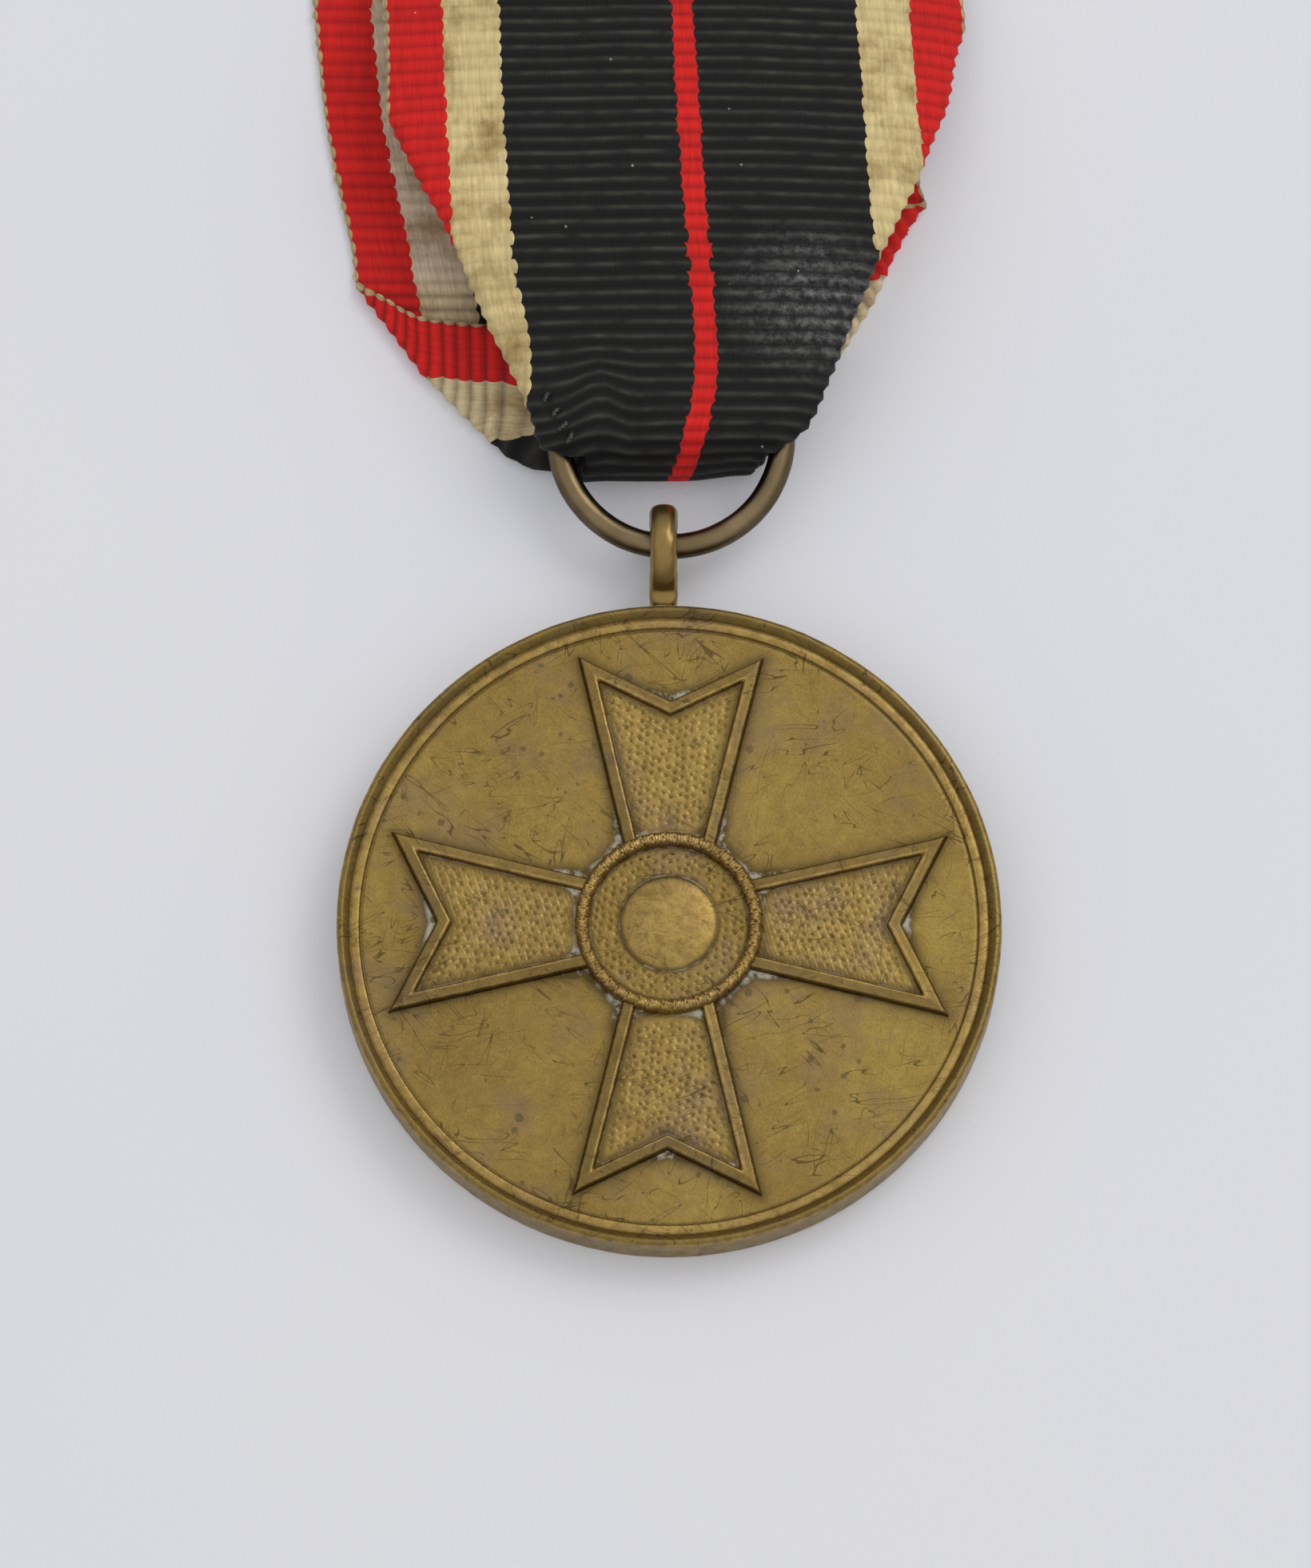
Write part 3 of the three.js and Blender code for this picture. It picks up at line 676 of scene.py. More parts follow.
def layer_point(layer, side, w, s, fold):
    """A point of one layer, w out from the centre line towards `side` and s along it. Up to the fold line
    the weft runs straight out; past it the weft turns inwards along the margin's own direction and the
    cloth lies on the inner side of the layer. Both legs are halves of a hyperbola, so the fold is round."""
    low, high, keep = MARGINS[layer, side]
    beyond = w - fold
    crowd = keep + (1 - keep) * smoothstep(-0.3, 2.2, s)
    beyond = np.where(beyond > 0, beyond * crowd, beyond)
    turn = np.sqrt(beyond ** 2 + FOLD_ROUND ** 2)
    straight = (beyond - turn) / 2
    inwards = (beyond + turn) / 2
    angle = np.radians(low + (high - low) * smoothstep(0.0, 2.6, s))
    fill = FOLD_ROUND / 2 * np.exp(-(beyond / (2 * FOLD_ROUND)) ** 2)
    w_flat = fold + straight - inwards * np.cos(angle) + fill * (1 + np.cos(angle))
    s_flat = s + inwards * np.sin(angle) - fill * np.sin(angle)
    inner = 0.5 + 0.5 * beyond / turn

    length, cy, cx, ch = CENTRES[layer]
    y = np.interp(s_flat, length, cy) + np.minimum(s_flat, 0)
    x = np.interp(s_flat, length, cx) + side * w_flat
    height = np.interp(s_flat, length, ch)
    if layer == "front":
        edge = (np.clip(w_flat, 0, None) / HALF_WIDTH) ** 2.4
        height = height - EDGE_DROP[side] * edge * smoothstep(80, 50, y)
        x = x - side * 0.5 * edge * (side > 0) * smoothstep(70, 45, y)
        if side < 0:
            x = x - (0.65 * smoothstep(27, 34, y) - 0.35) * smoothstep(0, 8, w_flat)
        flap = height - 0.5
    else:
        flap = height + 0.5 + FLAP_LIFT[side] * smoothstep(0.5, 6.0, beyond)
    return x, y, height * (1 - inner) + flap * inner


def ribbon_point(u, v):
    """The ribbon's middle surface: u across it from the red centre thread, v along it from the turn inside
    the ring, positive on the front layer. Near v = 0 the two layers change into each other, in height over
    the shape of a tanh, and the distance along each layer is a hyperbola in v."""
    u, v = np.broadcast_arrays(np.asarray(u, float), np.asarray(v, float))
    s = from_turn(v)
    upper = 0.5 + 0.5 * np.tanh(v / NOSE)
    total = np.zeros(u.shape + (3,))
    for side in (-1, 1):
        w = side * u
        fold = fold_at(side, v)
        front = np.stack(layer_point("front", side, w, s, fold), axis=-1)
        back = np.stack(layer_point("back", side, w, s, fold), axis=-1)
        place = front * upper[..., None] + back * (1 - upper[..., None])
        total = np.where((w > 0)[..., None] | ((w == 0) & (side > 0))[..., None], place, total)
    along, rise = pucker(total[..., 0], total[..., 1], upper)
    uneven = 0.15 + 0.4 * smoothstep(0.5, 4.5, total[..., 0])
    total[..., 1] += along + uneven * np.exp(-(v / 2) ** 2)
    total[..., 2] += rise + TABLE
    return total


def pucker(x, y, upper):
    """How far gathers move the front layer along Y and up: above the stitches the ribs are drawn down at
    the fold and pushed up beside it into a ridge with a hollow behind, which dies out upwards."""
    drawn = np.exp(-((x + 6.0) / 1.5) ** 2 - ((y - 25.6) / 2.0) ** 2)
    pushed = np.exp(-((x + 3.3) / 1.2) ** 2 - ((y - 26.0) / 2.2) ** 2)
    ridge = np.exp(-((x + 3.6) / 0.8) ** 2 - ((y - 25.7) / 1.9) ** 2)
    hollow = np.exp(-((x + 2.0) / 0.9) ** 2 - ((y - 25.0) / 1.6) ** 2)
    crease = np.sin((x + 0.28 * (y - 23.5)) * 4.2) * np.exp(-((x + 3.0) / 2.0) ** 2) * smoothstep(30, 25, y)
    soft = waves(61, x * 0.45, y * 0.33) * smoothstep(24, 29, y)
    along = 0.5 * pushed - 0.45 * drawn
    rise = 0.3 * ridge - 0.4 * hollow + 0.06 * crease + 0.1 * soft
    return upper ** 3 * along, upper ** 3 * rise


def frame_at(u, v):
    """Place, outward direction across, direction along and normal of the ribbon at u, v."""
    step = 0.02
    across = ribbon_point(u + step, v) - ribbon_point(u - step, v)
    along = ribbon_point(u, v + step) - ribbon_point(u, v - step)
    across /= np.linalg.norm(across, axis=-1, keepdims=True)
    along /= np.linalg.norm(along, axis=-1, keepdims=True)
    normal = np.cross(across, along)
    normal /= np.linalg.norm(normal, axis=-1, keepdims=True)
    return ribbon_point(u, v), across, along, normal


def ribbon_lengths():
    """How far the ribbon reaches from the turn, up the front and up the back."""
    front = np.interp(FRONT_END, CENTRES["front"][1], CENTRES["front"][0])
    back = np.interp(BACK_END, CENTRES["back"][1], CENTRES["back"][0])
    return front + TURN, back + TURN


def column_places(fold):
    """Where the lengthwise mesh lines cross one side of each row: evenly to the fold, closely round it, and
    evenly on to the selvedge."""
    knot = np.minimum(fold, HALF_WIDTH - 1.5)[:, None]
    main = np.linspace(0, 1, 14)[None, 1:] * (knot - 0.6)
    round_fold = knot + np.linspace(-0.6, 0.6, 9)[None, 1:]
    margin = knot + 0.6 + np.linspace(0, 1, 13)[None, 1:] * (HALF_WIDTH - knot - 0.6)
    return np.concatenate([main, round_fold, margin], axis=1)


def ribbon_cloth():
    """The whole ribbon as one closed sheet: two grids half a thickness either side of the middle surface.
    The thickness follows the weft, thin in the groove between two ribs and full over a rib."""
    front, back = ribbon_lengths()
    quarter = RIB_PITCH / 4
    v = np.arange(-round(back / quarter), round(front / quarter) + 1) * quarter
    left, right = [column_places(fold_at(side, v)) for side in (-1, 1)]
    u = np.concatenate([-left[:, ::-1], np.zeros((len(v), 1)), right], axis=1)
    rows, columns = u.shape
    vv = np.broadcast_to(v[:, None], u.shape)
    place, _, _, normal = frame_at(u, vv)
    rng = np.random.default_rng(7)
    rib_index = np.floor(v / RIB_PITCH + 0.001).astype(int)
    rib_index -= rib_index.min()
    fullness = 1 + 0.16 * rng.standard_normal(rib_index.max() + 2)[rib_index]
    rib = np.sin(math.pi * v / RIB_PITCH) ** 2 * fullness.clip(0.6, 1.3)
    half = (0.06 + 0.14 * rib)[:, None] * np.ones_like(u)
    half = half + 0.012 * waves(71, u * 2.1, vv * 5)
    top = (place + normal * half[..., None]).reshape(-1, 3)
    bottom = (place - normal * half[..., None]).reshape(-1, 3)
    count = len(top)
    border = border_of(numbered(rows, columns))
    walls = wall_between(border, border + count)
    quads = grid_faces(rows, columns)
    uv = np.stack([u / (2 * HALF_WIDTH) + 0.5, (vv + back) / (front + back)], axis=-1).reshape(-1, 2)
    return Surface(np.vstack([top, bottom]), [quads, quads[:, ::-1] + count, walls], np.vstack([uv, uv]))


def selvedge_loops():
    """The weft turning back at each selvedge: a half ring of thread from each rib to the next."""
    front, back = ribbon_lengths()
    rng = np.random.default_rng(17)
    pieces = []
    bend = np.linspace(0, math.pi, 7)
    around = circle(5)
    for side in (-1, 1):
        ribs = np.arange(-int(back / RIB_PITCH) + 1, int(front / RIB_PITCH) - 1)
        v = (ribs + 0.5) * RIB_PITCH
        reach = 0.02 + 0.16 * rng.random(len(v)) ** 1.5
        span = 0.17 + 0.1 * rng.random(len(v))
        place, across, along, normal = frame_at(np.full(len(v), side * (HALF_WIDTH - 0.06)), v)
        lift = 0.05 * rng.standard_normal(len(v))
        out = side * across
        centre = (place[:, None] + out[:, None] * (reach[:, None] * np.sin(bend))[..., None]
                  + along[:, None] * (span[:, None] * np.cos(bend))[..., None]
                  + normal[:, None] * (lift[:, None] * np.sin(bend))[..., None])
        radial = (out[:, None] * np.sin(bend)[None, :, None] + along[:, None] * np.cos(bend)[None, :, None])
        thread = 0.085
        ring = (centre[:, :, None] + thread * (radial[:, :, None] * np.cos(around)[None, None, :, None]
                + normal[:, None, None] * np.sin(around)[None, None, :, None]))
        loops, rows, columns = ring.shape[:3]
        one = grid_faces(rows, columns, close_columns=True)
        caps = np.array([np.arange(columns)[::-1], np.arange(columns) + (rows - 1) * columns])
        if side > 0:
            one, caps = one[:, ::-1], caps[:, ::-1]
        starts = (np.arange(loops) * rows * columns)[:, None, None]
        faces = [(one[None] + starts).reshape(-1, 4), (caps[None] + starts).reshape(-1, columns)]
        tone = np.repeat(rng.random(loops), rows * columns)
        pieces.append(Surface(ring.reshape(-1, 3), faces, np.stack([tone, tone], axis=-1)))
    return joined(pieces)


def stitch(place, direction, normal, length, seed):
    """One tacking stitch: two plies of thread twisted along a low arch, with both ends drawn into the
    cloth. The section is a circle whose radius swells twice round, and the swell turns along it."""
    rows, columns = 26, 14
    t = np.linspace(-1, 1, rows)
    arch = 0.13 * (1 - t ** 2) - 0.2 * t ** 6
    aside = np.cross(normal, direction)
    sway = 0.04 * np.sin(2.1 * t + seed)
    line = (place + direction * (t * length / 2)[:, None] + normal * arch[:, None] + aside * sway[:, None])
    s = circle(columns)
    swell = 0.1 * (1 + 0.22 * np.cos(2 * (s[None, :] - 5.5 * t[:, None] + seed)))
    swell *= np.sqrt(np.clip(1.02 - t ** 10, 0.02, 1))[:, None]
    radial = aside * np.cos(s)[:, None] + normal * np.sin(s)[:, None]
    ring = line[:, None] + swell[..., None] * radial
    index = numbered(rows, columns)
    faces = [grid_faces(rows, columns, close_columns=True)[:, ::-1], fan(index.size, index[0]),
             fan(index.size + 1, index[-1][::-1])]
    return Surface(np.vstack([ring.reshape(-1, 3), line[:1], line[-1:]]), faces)


def tacking():
    """The row of stitches down the left side fold, each across the fold's edge."""
    stitches = []
    for number in range(4):
        v = np.array(5.1 - 0.78 * number)
        u = np.array(1.0 + 0.13 * number - fold_at(-1, v))
        place, across, along, normal = frame_at(u, v)
        turn = 1.0 + 0.12 * math.sin(2.3 * number)
        direction = across * math.cos(turn) + along * math.sin(turn)
        stitches.append(stitch(place + normal * 0.2, direction, normal, 0.6, 1.7 * number))
    return stitches


# ---- materials ------------------------------------------------------------------------------------------
# Settings and output of a node that mixes two colours, and of one that multiplies them.
COLOUR_MIX = {"data_type": "RGBA", "output": 2}
COLOUR_TIMES = {**COLOUR_MIX, "blend_type": "MULTIPLY"}


def add_node(tree, kind, inputs=None, stops=None, stepped=False, output=0, **settings):
    """Adds one shader node with its settings and gives one of its outputs. Each input takes a number, a
    colour or another node's output; stops are a colour ramp's places and colours, blended or stepped."""
    node = tree.nodes.new("ShaderNode" + kind)
    for name, value in settings.items():
        setattr(node, name, value)
    for key, value in (inputs or {}).items():
        socket = node.inputs[key]
        if isinstance(value, bpy.types.NodeSocket):
            tree.links.new(value, socket)
        elif socket.type == "RGBA":
            socket.default_value = (*value[:3], 1.0)
        else:
            socket.default_value = value
    if stops:
        ramp = node.color_ramp
        ramp.interpolation = "CONSTANT" if stepped else "LINEAR"
        while len(ramp.elements) < len(stops):
            ramp.elements.new(0.5)
        for element, (place, colour) in zip(ramp.elements, stops):
            element.position = place
            element.color = (*colour[:3], 1.0)
    return node.outputs[output] if node.outputs else None


def new_material(name):
    """An empty material, the function that adds a node to it, and the surface's own coordinates in
    millimetres."""
    material = bpy.data.materials.new(name)
    material.use_nodes = True
    material.node_tree.nodes.clear()
    add = functools.partial(add_node, material.node_tree)
    place = add("TexCoord", output="Object")
    return material, add, add("Mapping", {0: place, "Scale": (1000, 1000, 1000)})


def coated(material, inputs):
    """The material with its shader, which takes these inputs."""
    shader = add_node(material.node_tree, "BsdfPrincipled", inputs)
    add_node(material.node_tree, "OutputMaterial", {"Surface": shader})
    return material


def struck_bronze(colours):
    """Tombac bronze, struck and toned: a brownish gold with a soft broken sheen. Hollows hold brown toning
    and pale dried polish, and the same brown paints shade on the loop and along the fine grooves. High spots
    are brightened by handling, and the same bright bronze paints highlights on the edge wall and along the
    borders' inner lips. The open field has spots and hairlines."""
    material, add, mm = new_material("struck_bronze")
    crevice_and_shade = add("Attribute", attribute_name="crevice_and_shade", output="Fac")
    wear_and_highlight = add("Attribute", attribute_name="wear_and_highlight", output="Fac")
    # Toning drifts over about 8 mm, and is broken up by a mottle of 0.6 mm.
    drift = add("TexNoise", {"Vector": mm, "Scale": 0.13, "Detail": 3.0, "Roughness": 0.6})
    mottle = add("TexNoise", {"Vector": mm, "Scale": 1.6, "Detail": 5.0, "Roughness": 0.7})
    tone = add("Math", {0: drift, 1: mottle}, operation="ADD")
    tone = add("Math", {0: tone, 1: 0.5}, operation="MULTIPLY")
    body = add("ValToRGB", {0: tone},
               stops=[(0.3, linear("#7f6838")), (0.5, colours.bronze), (0.66, linear("#a08947"))])
    # Grain of the worn strike, 0.1 mm.
    grain = add("TexNoise", {"Vector": mm, "Scale": 9.0, "Detail": 3.0, "Roughness": 0.6})
    grain_tone = add("MapRange", {0: grain, 1: 0.3, 2: 0.7, 3: 0.82, 4: 1.16})
    grain_grey = add("CombineColor", {0: grain_tone, 1: grain_tone, 2: grain_tone})
    body = add("Mix", {0: 1.0, 6: body, 7: grain_grey}, **COLOUR_TIMES)
    # Violet grey toning in patches some 3 mm across.
    toning = add("TexNoise", {"Vector": mm, "Scale": 0.32, "Detail": 4.0, "Roughness": 0.55})
    toned = add("MapRange", {0: toning, 1: 0.5, 2: 0.72, 3: 0.0, 4: 0.5})
    body = add("Mix", {0: toned, 6: body, 7: linear("#77645a")}, **COLOUR_MIX)
    # Dark spots, up to 0.5 mm across and 1.1 mm apart, in clusters.
    cells = add("TexVoronoi", {"Vector": mm, "Scale": 0.9, "Randomness": 1.0}, output="Distance")
    spot_size = add("MapRange", {0: toning, 1: 0.42, 2: 0.7, 3: 0.0, 4: 0.24})
    ragged = add("Math", {0: mottle, 1: 0.22, 2: -0.11}, operation="MULTIPLY_ADD")
    edge = add("Math", {0: cells, 1: ragged}, operation="ADD")
    spot = add("Math", {0: edge, 1: spot_size}, operation="LESS_THAN")
    body = add("Mix", {0: add("Math", {0: spot, 1: 0.5}, operation="MULTIPLY"), 6: body,
                       7: linear("#4b4233")}, **COLOUR_MIX)
    # Hairline scratches, some 0.02 mm wide and a few millimetres long, in five directions: contour lines of
    # a noise drawn out lengthwise, in patches.
    lines = None
    directions = ((0.5, 6, 3.0), (-0.6, 5, 17.0), (1.4, 5, 31.0), (2.3, 7, 43.0), (0.1, 4, 59.0))
    for angle, reach, seed in directions:
        stretched = add("Mapping", {0: mm, "Rotation": (0, 0, angle), "Scale": (reach, 0.85, 4.0),
                                    "Location": (seed, seed, 0)}, vector_type="TEXTURE")
        long_noise = add("TexNoise", {"Vector": stretched, "Scale": 1.0, "Detail": 1.5})
        centred = add("Math", {0: long_noise, 1: 0.5, 2: 0.005}, operation="COMPARE")
        moved = add("Mapping", {0: mm, "Location": (seed, 2 * seed, 0)})
        patch = add("TexNoise", {"Vector": moved, "Scale": 0.35})
        here = add("MapRange", {0: patch, 1: 0.5, 2: 0.6})
        line = add("Math", {0: centred, 1: here}, operation="MULTIPLY")
        lines = line if lines is None else add("Math", {0: lines, 1: line}, operation="MAXIMUM")
    scratched = add("Math", {0: lines, 1: 0.85}, operation="MULTIPLY")
    body = add("Mix", {0: scratched, 6: body, 7: linear("#5a4a2e")}, **COLOUR_MIX)
    # Hollows: brown toning first, which also paints the shade set on the loop and along the fine grooves,
    # then pale residue that stays in blotches of 1.6 mm.
    brown_and_shade = add("MapRange", {0: crevice_and_shade, 1: 0.0, 2: 0.55, 3: 0.0, 4: 0.88})
    body = add("Mix", {0: brown_and_shade, 6: body, 7: colours.bronze_shadow}, **COLOUR_MIX)
    stay = add("TexNoise", {"Vector": mm, "Scale": 0.62, "Detail": 6.0, "Roughness": 0.75})
    held = add("MapRange", {0: stay, 1: 0.47, 2: 0.56})
    deep = add("MapRange", {0: crevice_and_shade, 1: 0.44, 2: 0.72})
    residue = add("Math", {0: held, 1: deep}, operation="MULTIPLY")
    body = add("Mix", {0: add("Math", {0: residue, 1: 0.8}, operation="MULTIPLY"), 6: body,
                       7: colours.residue}, **COLOUR_MIX)
    # Rubbed high spots and painted highlights on the disc's edge wall and along the borders' inner lips,
    # broken along their length.
    bright_breakup = add("MapRange", {0: mottle, 1: 0.4, 2: 0.6, 3: 0.15, 4: 0.85})
    bright = add("Math", {0: wear_and_highlight, 1: bright_breakup}, operation="MULTIPLY")
    body = add("Mix", {0: bright, 6: body, 7: colours.bronze_wear_and_highlight}, **COLOUR_MIX)
    rough = add("MapRange", {0: grain, 1: 0.3, 2: 0.7, 3: 0.36, 4: 0.5})
    rough = add("Math", {0: residue, 1: 0.4, 2: rough}, operation="MULTIPLY_ADD")
    rough = add("Math", {0: bright, 1: -0.1, 2: rough}, operation="MULTIPLY_ADD")
    metal = add("MapRange", {0: residue, 3: 1.0, 4: 0.15})
    height = add("Math", {0: lines, 1: -0.4, 2: grain}, operation="MULTIPLY_ADD")
    bump = add("Bump", {"Strength": 0.35, "Distance": 0.00003, "Height": height})
    return coated(material, {"Base Color": body, "Roughness": rough, "Metallic": metal, "Normal": bump})


def toned_wire(colours):
    """Drawn copper-alloy wire, toned dark brown grey: a smooth glossy skin with faint drawing lines along
    it, a darker butt joint, a painted highlight along the top of the wire and painted shade down its sides."""
    material, add, mm = new_material("toned_wire")
    wear_and_highlight = add("Attribute", attribute_name="wear_and_highlight", output="Fac")
    crevice_and_shade = add("Attribute", attribute_name="crevice_and_shade", output="Fac")
    uv = add("UVMap", uv_map="UVMap")
    # Drawing lines 0.1 mm apart round the wire, some 5 mm long, over patches of 2 mm.
    drawn = add("Mapping", {0: uv, "Scale": (7, 40, 1)})
    streak = add("TexNoise", {"Vector": drawn, "Scale": 1.0, "Detail": 3.0})
    patch = add("TexNoise", {"Vector": mm, "Scale": 0.5, "Detail": 4.0})
    blended = add("Math", {0: streak, 1: 0.35, 2: patch}, operation="MULTIPLY_ADD")
    body = add("ValToRGB", {0: blended}, stops=[(0.45, linear("#4b4030")), (0.68, colours.wire),
                                                (0.9, linear("#83725a"))])
    # Painted highlight: the wire's top is made brighter all round.
    body = add("Mix", {0: add("Math", {0: wear_and_highlight, 1: 0.5}, operation="MULTIPLY"), 6: body,
                       7: linear("#94825c")}, **COLOUR_MIX)
    # Painted shade: the wire's sides and underside are darkened, and so is its butt joint.
    body = add("Mix", {0: crevice_and_shade, 6: body, 7: linear("#3a3226")}, **COLOUR_MIX)
    rough = add("MapRange", {0: streak, 1: 0.3, 2: 0.7, 3: 0.24, 4: 0.4})
    bump = add("Bump", {"Strength": 0.3, "Distance": 0.00002, "Height": streak})
    return coated(material, {"Base Color": body, "Roughness": rough, "Metallic": 1.0, "Normal": bump})


def grey_solder():
    """Soft tin-lead solder, dulled: grey metal with grains of 0.25 mm."""
    material, add, mm = new_material("soft_solder")
    grains = add("TexNoise", {"Vector": mm, "Scale": 4.0, "Detail": 5.0, "Roughness": 0.7})
    body = add("ValToRGB", {0: grains}, stops=[(0.35, linear("#6a6350")), (0.65, linear("#a8a290"))])
    rough = add("MapRange", {0: grains, 3: 0.45, 4: 0.7})
    bump = add("Bump", {"Strength": 0.5, "Distance": 0.00004, "Height": grains})
    return coated(material, {"Base Color": body, "Roughness": rough, "Metallic": 0.9, "Normal": bump})


def ribbed_rayon(colours):
    """Ribbed rayon ribbon: fine glossy warp threads over thick weft ribs. It is striped lengthwise in red,
    cream, black and a thin red middle; the cream has yellowed, and the black has a polished dusty patch."""
    material, add, mm = new_material("ribbed_rayon")
    front, back = ribbon_lengths()
    uv = add("UVMap", uv_map="UVMap")
    sizes = {"Scale": (2 * HALF_WIDTH, front + back, 1), "Location": (-HALF_WIDTH, -back, 0)}
    cloth = add("Mapping", {0: uv, **sizes})
    across, along = [add("SeparateXYZ", {0: cloth}, output=axis) for axis in (0, 1)]
    # The stripes' edges wander a thread or two, a little differently on each rib.
    rib_cell = add("Math", {0: along, 1: RIB_PITCH}, operation="DIVIDE")
    rib_number = add("Math", {0: rib_cell}, operation="FLOOR")
    wander = add("TexNoise", {"W": rib_number, "Scale": 0.9, "Detail": 2.0}, noise_dimensions="1D")
    slip = add("Math", {0: wander, 1: 0.36, 2: -0.18}, operation="MULTIPLY_ADD")
    rib_wave = add("Math", {0: rib_cell, 1: math.pi}, operation="MULTIPLY")
    rib_sine = add("Math", {0: rib_wave}, operation="SINE")
    rib = add("Math", {0: rib_sine}, operation="ABSOLUTE")
    scallop = add("Math", {0: rib, 1: 0.12, 2: slip}, operation="MULTIPLY_ADD")
    side = add("Math", {0: across}, operation="ABSOLUTE")
    place = add("Math", {0: side, 1: scallop}, operation="ADD")
    share = add("Math", {0: place, 1: HALF_WIDTH}, operation="DIVIDE")
    edges = [0.0, 0.58 / HALF_WIDTH, 8.85 / HALF_WIDTH, 11.7 / HALF_WIDTH, 14.4 / HALF_WIDTH]
    stripe_colours = [colours.middle_red, colours.black, colours.cream, colours.red, linear("#b5a070")]
    stripes = add("ValToRGB", {0: share}, stops=list(zip(edges, stripe_colours)), stepped=True)
    # Masks that are 1 on one colour's stripes: black between edges 1 and 2, cream between edges 2 and 3.
    off, on = (0, 0, 0), (1, 1, 1)
    is_black, is_cream = [
        add("ValToRGB", {0: share}, stops=[(0.0, off), (edges[k], on), (edges[k + 1], off)], stepped=True)
        for k in (1, 2)]
    # How much light is left in the grooves: little in the black, much in the pale cream.
    greys = [(light, light, light) for light in (0.55, 0.22, 0.84, 0.66, 0.6)]
    groove_light = add("ValToRGB", {0: share}, stops=list(zip(edges, greys)), stepped=True)
    # Painted shade: the back layer lies in shade and is tinted a greyer cream, least so where it is turned
    # in.
    behind = add("MapRange", {0: along, 1: -3.0, 2: -1.0, 3: 1.0, 4: 0.0})
    turned_in = add("MapRange", {0: along, 1: -12.5, 2: -11.0})
    turned_in = add("Math", {0: turned_in, 1: behind}, operation="MULTIPLY")
    behind = add("Math", {0: turned_in, 1: -0.55, 2: behind}, operation="MULTIPLY_ADD")
    behind = add("Math", {0: behind, 1: is_cream}, operation="MULTIPLY")
    body = add("Mix", {0: behind, 6: stripes, 7: linear("#d9c7aa")}, **COLOUR_MIX)
    # Warp threads 0.11 mm apart, drawn at 0.17 mm so that they show.
    thread_cells = add("Mapping", {0: cloth, "Scale": (6.0, 0.45, 1)})
    threads = add("TexNoise", {"Vector": thread_cells, "Scale": 1.0, "Detail": 2.0, "Roughness": 0.6})
    rib_tone = add("TexNoise", {"W": rib_number, "Scale": 0.37, "Detail": 3.0}, noise_dimensions="1D")
    # Painted shade: the grooves on the turned-in flap are darker still.
    flap_groove_shade = add("MapRange", {0: turned_in, 3: 1.0, 4: 0.6})
    lowest = add("Math", {0: groove_light, 1: flap_groove_shade}, operation="MULTIPLY")
    grooves = add("MapRange", {0: rib, 1: 0.0, 2: 0.95, 3: lowest, 4: 1.0})
    thread_tone = add("MapRange", {0: threads, 1: 0.3, 2: 0.7, 3: 0.82, 4: 1.14})
    rib_light = add("MapRange", {0: rib_tone, 1: 0.3, 2: 0.7, 3: 0.9, 4: 1.08})
    shade = add("Math", {0: grooves, 1: thread_tone}, operation="MULTIPLY")
    shade = add("Math", {0: shade, 1: rib_light}, operation="MULTIPLY")
    body = add("Mix", {0: 1.0, 6: body, 7: add("CombineColor", {0: shade, 1: shade, 2: shade})},
               **COLOUR_TIMES)
    # Painted highlight: the black warp's shine is painted along the crest of each rib, broken every
    # millimetre or so.
    crest = add("Math", {0: rib, 1: 9.0}, operation="POWER")
    streaks = add("Mapping", {0: cloth, "Scale": (0.8, 1.1, 1)})
    polish = add("TexNoise", {"Vector": streaks, "Scale": 1.0, "Detail": 3.0})
    broken = add("MapRange", {0: polish, 1: 0.3, 2: 0.75})
    shine = add("Math", {0: crest, 1: broken}, operation="MULTIPLY")
    shine = add("Math", {0: shine, 1: is_black}, operation="MULTIPLY")
    body = add("Mix", {0: add("Math", {0: shine, 1: 0.5}, operation="MULTIPLY"), 6: body,
                       7: linear("#5b5b4e")}, **COLOUR_MIX)
    # Yellow and brown stains on the cream, some 2 mm across.
    stains = add("TexNoise", {"Vector": cloth, "Scale": 0.45, "Detail": 5.0, "Roughness": 0.65})
    stained = add("MapRange", {0: stains, 1: 0.45, 2: 0.7, 3: 0.0, 4: 0.75})
    stained = add("Math", {0: stained, 1: is_cream}, operation="MULTIPLY")
    body = add("Mix", {0: stained, 6: body, 7: linear("#a08247")}, **COLOUR_TIMES)
    # Dust and shine rubbed into the black beside the fold: a patch 8 mm across that sits on the ribs.
    offset = add("Mapping", {0: cloth, "Location": (-5.6, -9.8, 0)})
    squeezed = add("Mapping", {0: offset, "Scale": (0.22, 0.25, 1)})
    away = add("VectorMath", {0: squeezed}, operation="LENGTH", output="Value")
    near = add("MapRange", {0: away, 1: 0.35, 2: 1.15, 3: 1.0, 4: 0.0})
    dust_noise = add("TexNoise", {"Vector": cloth, "Scale": 1.9, "Detail": 6.0, "Roughness": 0.8})
    dust = add("MapRange", {0: dust_noise, 1: 0.44, 2: 0.66})
    dust = add("Math", {0: dust, 1: near}, operation="MULTIPLY")
    dust = add("Math", {0: dust, 1: rib}, operation="MULTIPLY")
    body = add("Mix", {0: add("Math", {0: dust, 1: 0.42}, operation="MULTIPLY"), 6: body,
                       7: linear("#a9aaa6")}, **COLOUR_MIX)
